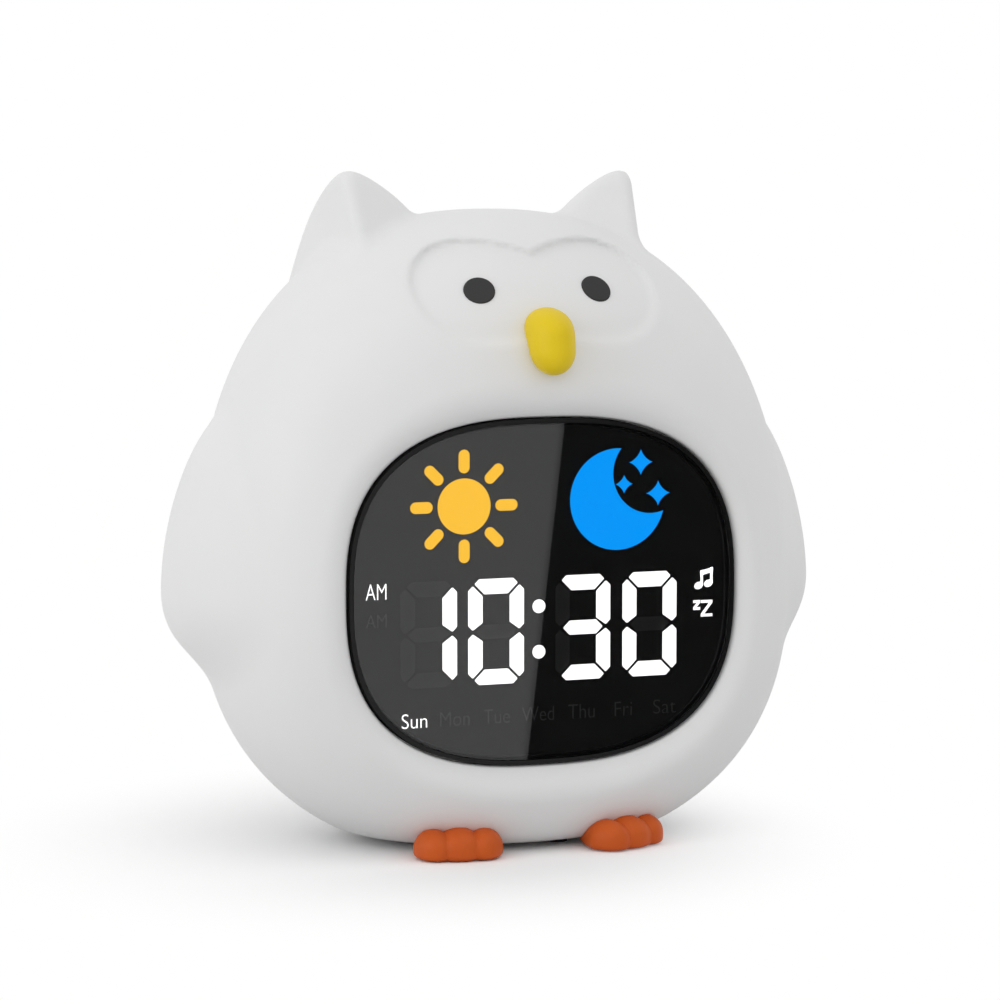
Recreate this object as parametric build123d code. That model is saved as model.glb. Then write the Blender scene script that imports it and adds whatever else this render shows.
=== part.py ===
from build123d import *
import os
from math import cos, sin, pi, radians, copysign

# An owl-shaped bedside clock: a soft silicone skin over a two-part rigid housing, with a
# lamp board, a seven-segment display, a rear control panel and a plate under the base.
# Millimetres. The front of the owl faces -Y, up is +Z, and z = 0 is the table.
# Everything is built about the upright axis of the egg-shaped body.

# ---- egg-shaped body ----
body_half_width = 61.2
body_half_depth = 48.2
body_rise = 76.1            # from the widest level up to the crown
body_drop = 55.0            # from the widest level down to the lowest point of the full egg
widest_level = 50.9
body_curve = 2.27           # exponent of the outline: 2 is an ellipse, more is squarer
body_lean = 0.073           # how far the axis leans back for each millimetre of height
lean_level = 62.8           # the height at which the leaning axis crosses the origin
depth_loss = 0.11           # how much flatter the egg is, front to back, at its two ends
face_plane = 31.8           # depth of the flattened front, in front of the axis
face_edge_radius = 8.0

# ---- skin, housing and their clearances ----
skin_wall = 3.0
skin_gap = 0.3
housing_wall = 2.2
split_plane = 6.0           # where the front and rear housings meet
foot_pad_height = 0.8

# ---- ears and wings ----
ear_tip_place = (33.6, 4.7)             # where the three flat sides of the right ear would meet
ear_tip_rise = 11.8                     # and how far above the crown
ear_front_edge = (0.2, -2.2)            # run of each edge, outward and back, for ear_drop of fall
ear_rear_edge = (2.3, 11.0)
ear_inner_edge = (-24.0, -3.0)
ear_drop = 15.0
ear_depths = (34.0, 20.0, 12.0, 7.6, 5.8)           # of the sections of one ear, below that point
ear_shares = (1.0, 1.0, 0.95, 0.8, 0.42)            # size of each, against three flat sides
ear_corner_radius = 3.0     # at the root; it shrinks with the section
wing_inset = 10.2           # from the side of the egg to the middle of a wing
wing_depth = 2.3            # behind the axis
wing_lift = 2.2             # above the widest level
wing_half_width = 17.3
wing_half_depth = 22.4
wing_rise = 30.9
wing_drop = 18.4
wing_taper = 0.29
wing_splay = 9.3            # degrees that the wing swings out towards its lower end

# ---- display window ----
window_half_width = 40.2
window_half_height = 33.9
window_curve = 2.66
window_point_count = 32
window_lift = 1.0           # above the widest level
lens_sink = 2.5             # how far the lens front lies behind the flattened face
plate_sink = 4.7            # and the housing's display wall
lip_wall = 0.6              # thickness of the skin where it ends at the window
lip_slope_width = 7.5       # how far the soft slope around the window reaches
window_clearance = 0.15
bezel_wall = 0.8
bezel_flange = 1.0
bezel_flange_depth = 1.2
ledge_width = 0.5
ledge_depth = 1.2
lens_thickness = 2.0
lens_clearance = 0.1
gasket_thickness = 0.4
lens_recess = 0.2           # the bezel stands this far proud of the lens

# ---- display block ----
block_clearance = 0.2
block_depth = 8.3
block_gap = 0.3
segment_depth = 1.4
digit_height = 20.8
digit_width = 11.6
segment_width = 3.0
segment_tip = (0.95, 1.3)    # where a bar is longest: in from its outer edge, and from the digit's corner
segment_gap = 0.35          # from a bar's tip to the middle of the digit
segment_slope = 1.8         # how far the inner edge of an upright bar ends from the middle
middle_bar = (1.6, 3.0, 1.4)            # tips and corners in from the digit's sides, and half its height
segment_round = 0.25
digit_base_drop = 17.95     # below the middle of the window
digit_places = (-23.6, -9.7, 8.5, 22.7)
digit_texts = ("1", "0", "3", "0")
colon_place = -0.77
colon_radius = 1.35
colon_drops = (12.0, 3.0)
sun_place = (-16.3, 17.2)   # of its middle, from the middle of the window
sun_radius = 5.45
ray_count = 8
ray_inner_radius = 6.45
ray_length = 4.6
ray_width = 2.25
moon_place = (15.8, 17.5)
moon_radius = 10.05
moon_bite_radius = 8.05
moon_bite_shift = (7.1, 5.05)
star_places = ((20.7, 24.7), (17.2, 20.4), (24.4, 18.4))
star_reaches = (2.5, 1.75, 2.5)
day_drop = 24.2
day_shift = -0.5
day_pitch = 8.85
day_count = 7
day_size = (6.8, 3.3)
mark_places = ((-34.3, 1.3), (-34.3, -4.4), (34.2, 1.0), (34.2, -4.8))
mark_size = (4.9, 4.4)
window_rim = 0.6            # least wall left between a small window and the block's side

# ---- display board ----
board_thickness = 1.6
display_board_margin = (3.5, 4.0)       # from its screws to its edges
display_board_corner = 6.0
display_post_angle = 36.4
display_post_gap = 3.9      # from the window's outline to the middle of a post
post_radius = 2.5
screw_radius = 1.0
screw_clearance = 0.15
thread_clearance = 0.05
screw_head_radius = 1.9
screw_head_height = 1.3
screw_cross = (2.2, 0.5, 0.65)          # length, width and depth of the cross in a screw head
screw_tip_gap = 0.9         # left free in front of a screw's tip
pilot_blind = 1.0           # floor left under a blind screw hole
display_chip_places = ((22.0, 0.0), (22.0, -16.0))      # one of each on both sides
display_chip_sizes = ((10.0, 1.6, 7.0), (5.0, 1.2, 4.0))
ribbon_socket_size = (13.0, 4.0, 2.4)
ribbon_socket_drop = 1.7    # how far the middle of each socket lies below the ribbon's level

# ---- face pieces ----
mask_lobe_place = 13.0
mask_drop = 16.8            # below the crown
mask_outer_reach = 13.3
mask_inner_reach = 19.6
mask_half_height = 10.3
mask_depth = 1.4
eye_place = (12.2, 16.2)    # from the middle, and below the crown
eye_half_width = 3.05
eye_half_height = 3.15
eye_depth = 1.2            # how far each eye is let into the skin
eye_proud = 0.3
eye_clearance = 0.05
fitted_gap = 0.05            # left between the skin and a piece that follows its shape
eye_tilt = 38.0             # degrees that the face leans back at the eyes
eye_turn = 10.0             # degrees that each eye looks outwards
beak_drop = 26.2            # below the crown
beak_proud = 6.4            # how far the beak stands out of the flattened face
beak_half_width = 5.3
beak_half_depth = 6.2
beak_half_height = 7.0
beak_tilt = 14.0
beak_hook = (0.8, 0.75, 0.7)            # size of the lower bulge, against the main one
beak_hook_drop = 2.0

# ---- feet ----
foot_place = 17.7
foot_inset = 5.7            # from the flattened face back to the middle of a foot
foot_turn = 15.0            # degrees that each foot points outwards
toe_pitch = 5.8
toe_half_width = 3.4
toe_half_length = 9.5
toe_half_height = 3.6
toe_level = 2.9
toe_fan = 5.0               # degrees between neighbouring toes
toe_setback = 1.0           # how far the outer toes lie behind the middle one

# ---- housing fasteners ----
upper_boss = (34.0, 45.1)    # from the middle, and above the widest level
lower_boss = (44.0, -20.9)
boss_radius = 3.2
boss_front_depth = 14.0
boss_seat_depth = 8.0
boss_rib = 2.6

# ---- rear control panel ----
panel_lift = 11.1           # above the widest level
panel_radius = 27.7
panel_thickness = 2.2
panel_recess = 7.5          # from the rearmost depth of the egg to the panel's outer face
panel_clearance = 0.3
panel_chamfer = 0.5
seat_width = 4.2
seat_depth = 4.5
seat_rim = 0.6              # how far the seat ring reaches into the wall around the panel
panel_screw_circle = 25.6
button_columns = (-12.5, 0.0, 12.5)
button_rows = (11.5, 3.0)
button_size = (8.0, 5.0)
button_flange = 0.7
button_clearance = 0.2
button_proud = 1.0
button_round = 0.6
button_stem_radius = 2.3
button_stem_length = 0.6
button_travel = 0.6
button_flange_depth = 1.0
button_names = ("set", "up", "alarm", "light", "down", "sound")
switch_body_size = 6.0
switch_body_depth = 3.5
plunger_radius = 1.7
plunger_clearance = 0.08
plunger_sink = 1.4
plunger_end_gap = 0.2
main_board_gap = 7.3        # from the main board's rear face to the panel's inner face
main_board_size = (41.0, 22.0)
main_board_lift = 9.2       # above the middle of the panel
main_post_edge = 2.2        # from the side of the board to its screw
main_post_lift = 7.2
main_post_radius = 2.0
slider_level = 20.0
slider_slot = (8.6, 2.6)
slider_travel = 3.0
slider_knob_width = 3.0
slider_body_size = (9.4, 3.9, 4.2)
slider_tail_depth = 2.8     # the part of the knob that runs inside the switch
slider_tail_height = 1.2
slider_clearance = 0.2
slider_slot_clearance = 0.3
slider_proud = 0.8
slider_leg = 0.8
slider_leg_pitch = 3.0
main_chip_places = ((-9.0, 7.0), (9.0, 7.0), (10.0, -1.0), (-10.0, -2.0))
main_chip_sizes = ((7.0, 1.0, 7.0), (5.0, 1.4, 4.0), (4.5, 2.4, 4.5), (8.0, 2.2, 3.2))
board_screw_length = 4.5    # below the board
usb_level = -18.6
usb_socket_size = (8.94, 7.3, 3.16)
usb_wall = 0.3
usb_tongue_size = (6.7, 5.0, 0.7)
usb_board_size = (12.0, 12.0, 1.0)
usb_shelf_size = (3.0, 12.0, 1.2)
usb_hole_clearance = 0.15
joint_overlap = 0.25        # how far a rib or post runs into the wall that it grows from

# ---- loudspeaker ----
speaker_level = -8.3
speaker_size = (24.0, 12.4)
speaker_depth = 4.6
speaker_rim = 1.6
cone_clearance = 0.35
cone_thickness = 0.5
cone_depth = 1.2
coil_radius = 2.6
coil_length = 1.6
coil_clearance = 1.2
speaker_floor = 0.8
magnet_size = (11.0, 8.0, 2.4)
grille_hole_radius = 0.75
grille_pitch = 2.5
grille_columns = 7
grille_rows = 3

# ---- base ----
base_half_width = 23.0
base_half_depth = 17.0
base_thickness = 2.8
base_clearance = 0.3
base_screw_edges = (6.4, 8.6)           # in from the sides of the base plate
pad_radius = 2.2
pad_place = 6.8
pad_edge = 3.8              # from the edge of the base plate to the middle of a pad
cup_wall = 1.3
cup_height = 8.4
cup_roof = 1.0
coin_cell_radius = 10.0
coin_clearance = 0.7
door_rim = 0.2              # how far the door reaches past its lugs
door_clearance = 0.1
door_thickness = 1.9
door_recess = 0.1
door_neck_clearance = 0.25
lug_reach = 1.0
lug_thickness = 0.8
lug_angle = 26.0
notch_angle = 34.0
flange_depth = 0.9
coin_slot = (12.0, 1.6, 0.9)
coin_cell_height = 2.5
coin_gap = 0.3
coin_spring_radius = 6.0
coin_spring_bore = 5.0

# ---- inner pieces ----
lamp_board_size = (52.0, 28.0)
lamp_board_drop = 39.0      # below the crown
lamp_board_depth = 15.0     # of its middle, behind the axis
lamp_pitch = 18.0
lamp_edge = 4.0             # from the middle of a lamp to the edge of the board
lamp_bracket_place = 20.0
lamp_bracket_size = (6.0, 3.0)
lamp_count = 6
lamp_size = (3.5, 2.8, 1.2)
spring_radius = 3.6
spring_wire = 0.45
spring_turns = 5
spring_depth = 7.0          # of its axis, behind the body's axis
spring_top_gap = 1.0
battery_radius = 9.1
battery_length = 65.0
battery_tip = (3.6, 0.8)    # radius and height of the raised terminal
battery_lift = 20.2         # above the housing's underside
battery_depth = 2.0
battery_saddle_place = 22.0
battery_saddle_width = 4.0
ribbon_size = (10.0, 0.5)
ribbon_drop = 3.2           # below the middle of the main board

to_front = -1               # the two ways along Y
to_back = 1
crown_level = widest_level + body_rise
window_level = widest_level + window_lift
panel_level = widest_level + panel_lift
main_board_level = panel_level + main_board_lift
ribbon_level = main_board_level - ribbon_drop
lamp_board_level = crown_level - lamp_board_drop
beak_level = crown_level - beak_drop
beak_reach = face_plane + beak_proud
skin_underside = foot_pad_height
floor_level = skin_underside + skin_wall          # underside of the housing
housing_inset = skin_wall + skin_gap
cavity_inset = housing_inset + housing_wall
plate_front = -(face_plane - plate_sink)
plate_back = plate_front + housing_wall
lens_front = -(face_plane - lens_sink)
lens_back = lens_front + lens_thickness
ledge_front = lens_back + gasket_thickness
bezel_front = lens_front - lens_recess
bezel_back = max(ledge_front + ledge_depth, plate_back + bezel_flange_depth)
block_front = lens_back + block_gap
block_inset = bezel_wall + ledge_width + block_clearance
block_back = block_front + block_depth
panel_plane = body_half_depth - panel_recess      # the panel's outer face
panel_front = panel_plane - panel_thickness       # and its inner face
main_board_plane = panel_front - main_board_gap
seat_back = panel_front
door_bottom = skin_underside + door_recess
battery_level = floor_level + battery_lift
cup_bore = coin_cell_radius + coin_clearance
door_neck_radius = cup_bore - door_neck_clearance
lug_radius = cup_bore + lug_reach
door_radius = lug_radius + door_rim
cup_radius = door_radius + cup_wall


# ---------------------------------------------------------------- shared shapes
def lean_at(level):
    """Where the leaning axis is, front to back, at a height."""
    return body_lean * (level - lean_level)


def egg(inset):
    """The egg-shaped body, drawn in by an inset all round."""
    half_width = body_half_width - inset
    half_depth = body_half_depth - inset
    sections = []
    for share in (-0.985, -0.93, -0.8, -0.6, -0.35, 0.0, 0.35, 0.6, 0.8, 0.93, 0.985):
        reach = body_rise if share > 0 else body_drop
        level = widest_level + share * (reach - inset)
        size = (1 - abs(share) ** body_curve) ** (1 / body_curve)
        flat = 1 - depth_loss * share ** 2
        plane = Plane((0, lean_at(level), level), x_dir=(0, 1, 0), z_dir=(0, 0, 1))
        sections.append(plane * Ellipse(half_depth * size * flat, half_width * size))
    return loft(sections)


def window_corner(angle, grow):
    """A point of the display outline, grown outwards, from the middle of the window."""
    share = (abs(cos(angle)) ** window_curve + abs(sin(angle)) ** window_curve) ** (-1 / window_curve)
    return (window_half_width + grow) * share * cos(angle), (window_half_height + grow) * share * sin(angle)


def window_points(grow, depth):
    """Corners of the display outline, grown outwards, on a plane at a depth."""
    points = []
    for step in range(window_point_count):
        x, z = window_corner(2 * pi * step / window_point_count, grow)
        points.append((x, depth, window_level + z))
    return points


def window_face(grow, depth):
    """The display outline as a face."""
    outline = Spline(window_points(grow, depth), periodic=True)
    return Face(Wire([outline]))


def window_prism(grow, front, back):
    """A straight block with the display outline, from one depth to another."""
    face = window_face(grow, front)
    return extrude(face, amount=back - front, dir=(0, 1, 0))


def box_at(centre, size):
    return Pos(*centre) * Box(*size)


def rod(centre, radius, front, back):
    """A round bar along Y at (x, z), from one depth to another."""
    x, z = centre
    return Pos(x, (front + back) / 2, z) * Rot(90, 0, 0) * Cylinder(radius, back - front)


def upright(centre, radius, bottom, top):
    """A round bar along Z at (x, y)."""
    x, y = centre
    return Pos(x, y, (bottom + top) / 2) * Cylinder(radius, top - bottom)


def rounded_bar(centre, size, front, back):
    """A bar along Y with a round-ended section, at (x, z)."""
    x, z = centre
    width, height = size
    plane = Plane((x, back, z), x_dir=(1, 0, 0), z_dir=(0, -1, 0))
    return extrude(plane * SlotOverall(width, height), amount=back - front)


def slab(front, back):
    """All space between two depths, for trimming."""
    reach = 4 * body_half_width
    return box_at((0, (front + back) / 2, widest_level), (reach, back - front, reach))


def above(level):
    reach = 4 * body_half_width
    return box_at((0, 0, level + reach / 2), (reach, reach, reach))


def screw(centre, seat, length, toward):
    """A pan-head screw along Y; its head sits on the seat and its shank runs toward the front."""
    tip = seat + toward * length
    shank = rod(centre, screw_radius - thread_clearance, min(seat, tip), max(seat, tip))
    top = seat - toward * screw_head_height
    head = rod(centre, screw_head_radius, min(seat, top), max(seat, top))
    length, width, recess = screw_cross
    middle = (centre[0], top + toward * recess / 2, centre[1])
    cross = box_at(middle, (length, recess, width)) + box_at(middle, (width, recess, length))
    return head + shank - cross


# ---------------------------------------------------------------- outer body
def ear(side):
    """One ear: three sides with rounded corners, running to a blunt tip."""
    x, y = ear_tip_place
    sections = []
    for depth, share in zip(ear_depths, ear_shares):
        fall = share * depth / ear_drop
        corners = []
        for run in (ear_front_edge, ear_rear_edge, ear_inner_edge):
            corners.append((side * (x + fall * run[0]), y + fall * run[1]))
        face = make_face(Polyline(*corners, close=True))
        radius = ear_corner_radius * share * depth / ear_depths[0]
        sections.append(Pos(0, 0, crown_level + ear_tip_rise - depth) * fillet(face.vertices(), radius))
    return loft(sections)


def wing(side):
    """One folded wing: a drop shape, thin at the shoulder and full below."""
    points = []
    for step in range(13):
        angle = -pi / 2 + pi * step / 12
        height = sin(angle) * (wing_rise if angle > 0 else wing_drop)
        swell = 1 - wing_taper * max(height / wing_rise, -0.5)
        points.append((wing_half_width * swell * cos(angle), 0, height))
    outline = Spline(points, tangents=((1, 0, 0), (-1, 0, 0)))
    half = make_face(Wire([outline, Line(outline @ 1, outline @ 0)]))
    drop = revolve(half, Axis.Z)
    drop = scale(drop, by=(1, wing_half_depth / wing_half_width, 1))
    x = body_half_width - wing_inset
    return Pos(side * x, wing_depth, widest_level + wing_lift) * Rot(0, -side * wing_splay, 0) * drop


def face_body():
    """The egg with its flattened front, above the underside."""
    body = egg(0) & slab(-face_plane, 2 * body_half_depth)
    rim = body.faces().sort_by(Axis.Y)[0].edges()
    body = fillet(rim, face_edge_radius)
    return body & above(skin_underside)


def outer_body():
    body = face_body()
    for side in (-1, 1):
        body = body + wing(side) + ear(side)
    return body


def mask_face():
    """Outline of the two joined eye hollows, on the plane of the axis."""
    points = []
    count = 11
    for step in range(count):
        angle = pi / 2 - pi * step / (count - 1)
        points.append((mask_lobe_place + mask_outer_reach * cos(angle), mask_half_height * sin(angle)))
    notch = mask_half_height * (1 - (mask_lobe_place / mask_inner_reach) ** 2) ** 0.5
    right = Spline([(0, notch)] + [points[0]] + points[1:-1] + [points[-1]] + [(0, -notch)])
    left = Spline([(0, -notch)] + [(-x, z) for x, z in reversed(points)] + [(0, notch)])
    plane = Plane((0, 0, crown_level - mask_drop), x_dir=(1, 0, 0), z_dir=(0, -1, 0))
    return plane * make_face(Wire([right, left]))


def eye_shape(side, front, back, grow):
    """An oval plug square to the face at one eye; front and back are measured from its centre."""
    x, z = eye_place[0], crown_level - eye_place[1]
    y = -(body_half_depth - mask_depth) * face_share(x, z) + lean_at(z)
    turn = Location((side * x, y, z), (0, 0, side * eye_turn))
    plane = Plane(turn * Location((0, 0, 0), (90 - eye_tilt, 0, 0)))
    outline = Ellipse(eye_half_width + grow, eye_half_height + grow)
    return extrude(plane.offset(-back) * outline, amount=back + front)


def face_share(x, z):
    """How deep the egg is at (x, z), as a share of its half depth."""
    share = (z - widest_level) / body_rise
    size = (1 - share ** body_curve) ** (1 / body_curve)
    flat = 1 - depth_loss * share ** 2
    return flat * (size ** 2 - (x / body_half_width) ** 2) ** 0.5


def silicone_skin():
    """The soft skin: body, ears and wings in one piece, hollow, open at front, back and base."""
    skin = outer_body()
    cavity = egg(skin_wall) & slab(plate_front - skin_gap, 2 * body_half_depth) & above(floor_level)
    hollows = extrude(mask_face(), amount=2 * body_half_depth) - egg(mask_depth)
    slope = loft([window_face(skin_gap, plate_front - skin_gap - lip_wall),
                  window_face(lip_slope_width, -face_plane)], ruled=True)
    skin = skin - cavity - hollows - slope
    skin -= window_prism(skin_gap, -face_plane - 1, plate_front + 1)
    skin -= rod((0, panel_level), panel_radius + panel_clearance + skin_gap, split_plane, 2 * body_half_depth)
    skin -= base_oval(base_clearance, skin_underside - 1, floor_level + 1)
    for side in (-1, 1):
        skin -= eye_shape(side, eye_depth, eye_depth, eye_clearance)
    return skin


def base_oval(grow, bottom, top):
    """The oval of the base plate, grown outwards, from one height to another."""
    oval = Ellipse(base_half_width + grow, base_half_depth + grow)
    return extrude(Pos(0, lean_at(0), bottom) * oval, amount=top - bottom)


def eye(side):
    return eye_shape(side, eye_proud, eye_depth - eye_clearance, 0)


def beak():
    """A plump beak that hooks down, fitted to the face behind it."""
    bulb = scale(Sphere(1), by=(beak_half_width, beak_half_depth, beak_half_height))
    hook = scale(Sphere(1), by=(beak_half_width * beak_hook[0], beak_half_depth * beak_hook[1],
                               beak_half_height * beak_hook[2]))
    shape = Pos(0, -(beak_reach - beak_half_depth), beak_level) * Rot(-beak_tilt, 0, 0) * bulb
    shape += Pos(0, -(beak_reach - beak_half_depth * beak_hook[0]), beak_level - beak_hook_drop) * hook
    return shape - egg(mask_depth - fitted_gap) - slab(-face_plane - fitted_gap, 0)


def foot(side):
    """Three rounded toes that spread a little, fitted to the body behind them."""
    shape = None
    middle = Location((side * foot_place, foot_inset - face_plane, toe_level), (0, 0, side * foot_turn))
    for toe in (-1, 0, 1):
        one = scale(Sphere(1), by=(toe_half_width, toe_half_length, toe_half_height))
        one = middle * Pos(toe * toe_pitch, abs(toe) * toe_setback, 0) * Rot(0, 0, toe * toe_fan) * one
        shape = one if shape is None else shape + one
    return (shape & above(0)) - face_body()


# ---------------------------------------------------------------- rigid housing
def housing_shell():
    """The rigid shell under the skin, and the space that its posts and ribs may fill."""
    outside = egg(housing_inset) & slab(plate_front, 2 * body_half_depth) & above(floor_level)
    inside = egg(cavity_inset) & slab(plate_back, 2 * body_half_depth) & above(floor_level + housing_wall)
    room = egg(housing_inset + housing_wall / 2) & slab(plate_front, 2 * body_half_depth) & above(floor_level)
    return room, outside - inside


def boss_places():
    places = []
    for x, lift in (upper_boss, lower_boss):
        places += [(-x, widest_level + lift), (x, widest_level + lift)]
    return places


def boss_web(centre, front, back):
    """A web from a screw boss out to the side wall."""
    x, z = centre
    reach = body_half_width
    middle = copysign(abs(x) + reach / 2, x)
    return box_at((middle, (front + back) / 2, z), (reach, back - front, boss_rib))


def front_housing():
    room, shell = housing_shell()
    shell = shell & slab(-body_half_depth, split_plane)
    posts = []
    for place in display_posts():
        posts.append(rod(place, post_radius, plate_front, block_back))
    for place in boss_places():
        posts.append(rod(place, boss_radius, split_plane - boss_front_depth, split_plane))
        posts.append(boss_web(place, split_plane - boss_front_depth, split_plane))
    for side in (-1, 1):
        posts.append(battery_saddle(side))
    shell = shell + [post & room for post in posts]
    shell -= window_prism(window_clearance, plate_front - 1, plate_back + 1)
    for place in boss_places():
        shell -= rod(place, screw_radius, split_plane - boss_front_depth + pilot_blind, split_plane + 1)
    for place in display_posts():
        shell -= rod(place, screw_radius, plate_back + pilot_blind, block_back + 1)
    return cut_floor(shell)


def cut_floor(shell):
    """Cut the hole for the coin cup and the base screw holes in a shell's floor."""
    for place in base_screws_xy():
        shell -= upright(place, screw_radius, floor_level - 1, floor_level + housing_wall + 1)
    return shell - upright(cup_axis(), cup_radius + base_clearance, floor_level - 1, floor_level + cup_height)


def battery_saddle(side):
    """A cradle that carries one end of the battery from the floor."""
    top = battery_level
    block = box_at((side * battery_saddle_place, battery_depth, (floor_level + top) / 2),
                   (battery_saddle_width, 2 * battery_radius, top - floor_level))
    tunnel = Pos(side * battery_saddle_place, battery_depth, battery_level) * Rot(0, 90, 0)
    block -= tunnel * Cylinder(battery_radius + fitted_gap, battery_saddle_width + 1)
    return block & slab(-body_half_depth, split_plane)


def rear_housing():
    room, shell = housing_shell()
    shell = shell & slab(split_plane, 2 * body_half_depth)
    posts = []
    for place in boss_places():
        posts.append(rod(place, boss_radius, split_plane, body_half_depth))
        posts.append(boss_web(place, split_plane, split_plane + boss_front_depth))
    for side in (-1, 1):
        width, height = lamp_bracket_size
        posts.append(box_at((side * lamp_bracket_place, (split_plane + body_half_depth) / 2,
                             lamp_board_level - height / 2),
                            (width, body_half_depth - split_plane, height)))
    seat = rod((0, panel_level), panel_radius + panel_clearance + seat_rim, seat_back - seat_depth, seat_back)
    seat -= rod((0, panel_level), panel_radius - seat_width, 0, seat_back + 1)
    shell = shell + [post & room for post in posts] + (seat & room)
    shell -= rod((0, panel_level), panel_radius - seat_width, seat_back - seat_depth, 2 * body_half_depth)
    shell -= rod((0, panel_level), panel_radius + panel_clearance, seat_back, 2 * body_half_depth)
    for place in boss_places():
        shell -= rod(place, screw_radius + screw_clearance, split_plane - 1, 2 * body_half_depth)
        shell -= rod(place, screw_head_radius + screw_clearance, split_plane + boss_seat_depth,
                     2 * body_half_depth)
    for place in panel_screw_places():
        shell -= rod(place, screw_radius, seat_back - seat_depth, seat_back + 1)
    return cut_floor(shell)


def housing_screws():
    length = boss_seat_depth + boss_front_depth - pilot_blind - screw_tip_gap
    return [screw(place, split_plane + boss_seat_depth, length, to_front) for place in boss_places()]


# ---------------------------------------------------------------- display
def display_posts():
    x, z = window_corner(radians(display_post_angle), display_post_gap)
    return [(sx * x, window_level + sz * z) for sx in (-1, 1) for sz in (-1, 1)]


def display_bezel():
    """Black frame around the lens, with a flange behind the housing wall and an inner ledge."""
    ring = window_prism(0, bezel_front, bezel_back)
    ring += window_prism(bezel_flange, plate_back, plate_back + bezel_flange_depth)
    ring -= window_prism(-bezel_wall, bezel_front - 1, ledge_front)
    return ring - window_prism(-bezel_wall - ledge_width, ledge_front - 1, bezel_back + 1)


def display_lens():
    return window_prism(-bezel_wall - lens_clearance, lens_front, lens_back)


def lens_gasket():
    ring = window_prism(-bezel_wall - lens_clearance, lens_back, ledge_front)
    return ring - window_prism(-bezel_wall - ledge_width, lens_back - 1, ledge_front + 1)


def front_inlay(face, depth):
    """A coloured inlay in the front of the display block; the face is drawn as (x, z)."""
    plane = Plane((0, block_front, 0), x_dir=(1, 0, 0), z_dir=(0, -1, 0))
    return extrude(plane * face, amount=-depth)


def in_window(place):
    """A place given from the middle of the window, as (x, z)."""
    x, z = place
    return (x, window_level + z)


def upright_bar(edge, inward, corner, toward, middle):
    """An upright bar of a digit, from near one of its corners to its middle."""
    across, along = segment_tip
    return [(edge + inward * across, corner + toward * along), (edge, corner + toward * (along + across)),
            (edge, middle - toward * (segment_gap + across)),
            (edge + inward * across, middle - toward * segment_gap),
            (edge + inward * segment_width, middle - toward * segment_slope),
            (edge + inward * segment_width, corner + toward * (segment_width + segment_gap))]


def level_bar(edge, toward, left, right):
    """The top or bottom bar of a digit."""
    across, along = segment_tip
    inner = edge + toward * segment_width
    return [(left + along, edge + toward * across), (left + along + across, edge),
            (right - along - across, edge), (right - along, edge + toward * across),
            (right - segment_width - segment_gap, inner), (left + segment_width + segment_gap, inner)]


def segment_faces(place):
    """The seven bars of one digit, by letter, as faces drawn in (x, z)."""
    left, right = place - digit_width / 2, place + digit_width / 2
    low = window_level - digit_base_drop
    high = low + digit_height
    middle = (low + high) / 2
    tip, corner, half = middle_bar
    outlines = {"a": level_bar(high, -1, left, right), "d": level_bar(low, 1, left, right),
                "b": upright_bar(right, -1, high, -1, middle), "c": upright_bar(right, -1, low, 1, middle),
                "e": upright_bar(left, 1, low, 1, middle), "f": upright_bar(left, 1, high, -1, middle),
                "g": [(left + tip, middle), (left + corner, middle + half), (right - corner, middle + half),
                      (right - tip, middle), (right - corner, middle - half), (left + corner, middle - half)]}
    faces = {}
    for letter, corners in outlines.items():
        face = make_face(Polyline(*corners, close=True))
        faces[letter] = fillet(face.vertices(), segment_round)
    return faces


lit_letters = {"0": "abcdef", "1": "bc", "3": "abcdg"}


def lit_segments():
    """The bars that glow, and the two dots between hours and minutes."""
    bars = []
    for place, text in zip(digit_places, digit_texts):
        faces = segment_faces(place)
        bars += [front_inlay(faces[letter], segment_depth) for letter in lit_letters[text]]
    for drop in colon_drops:
        dot = Pos(colon_place, window_level - drop) * Circle(colon_radius)
        bars.append(front_inlay(dot, segment_depth))
    return bars


def unlit_segments():
    """The bars that stay dark at this time."""
    bars = []
    for place, text in zip(digit_places, digit_texts):
        faces = segment_faces(place)
        dark = [letter for letter in "abcdefg" if letter not in lit_letters[text]]
        bars += [front_inlay(faces[letter], segment_depth) for letter in dark]
    return bars


def sun_icon():
    x, z = in_window(sun_place)
    pieces = [front_inlay(Pos(x, z) * Circle(sun_radius), segment_depth)]
    for step in range(ray_count):
        angle = 360 * step / ray_count
        ray = Pos(ray_inner_radius + ray_length / 2, 0) * SlotOverall(ray_length, ray_width)
        pieces.append(front_inlay(Pos(x, z) * Rot(0, 0, angle) * ray, segment_depth))
    return pieces


def star_face(x, z, reach):
    """A four-pointed star with hollow sides."""
    waist = reach * 0.3
    corners = []
    for step in range(8):
        angle = pi / 4 * step
        size = reach if step % 2 == 0 else waist
        corners.append((x + size * cos(angle), z + size * sin(angle)))
    return make_face(Polyline(*corners, close=True))


def moon_icon():
    x, z = in_window(moon_place)
    crescent = Pos(x, z) * Circle(moon_radius)
    crescent -= Pos(x + moon_bite_shift[0], z + moon_bite_shift[1]) * Circle(moon_bite_radius)
    pieces = [front_inlay(crescent, segment_depth)]
    for place, reach in zip(star_places, star_reaches):
        pieces.append(front_inlay(star_face(*in_window(place), reach), segment_depth))
    return pieces


def small_windows():
    """Small light windows for the days of the week and the four status marks."""
    first = day_shift - day_pitch * (day_count - 1) / 2
    pieces = []
    room = window_prism(-block_inset - window_rim, block_front - 1, block_back)
    for step in range(day_count):
        face = Pos(first + step * day_pitch, window_level - day_drop) * Rectangle(*day_size)
        pieces.append(front_inlay(face, segment_depth) & room)
    for place in mark_places:
        pieces.append(front_inlay(Pos(*in_window(place)) * Rectangle(*mark_size), segment_depth))
    return pieces


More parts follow.
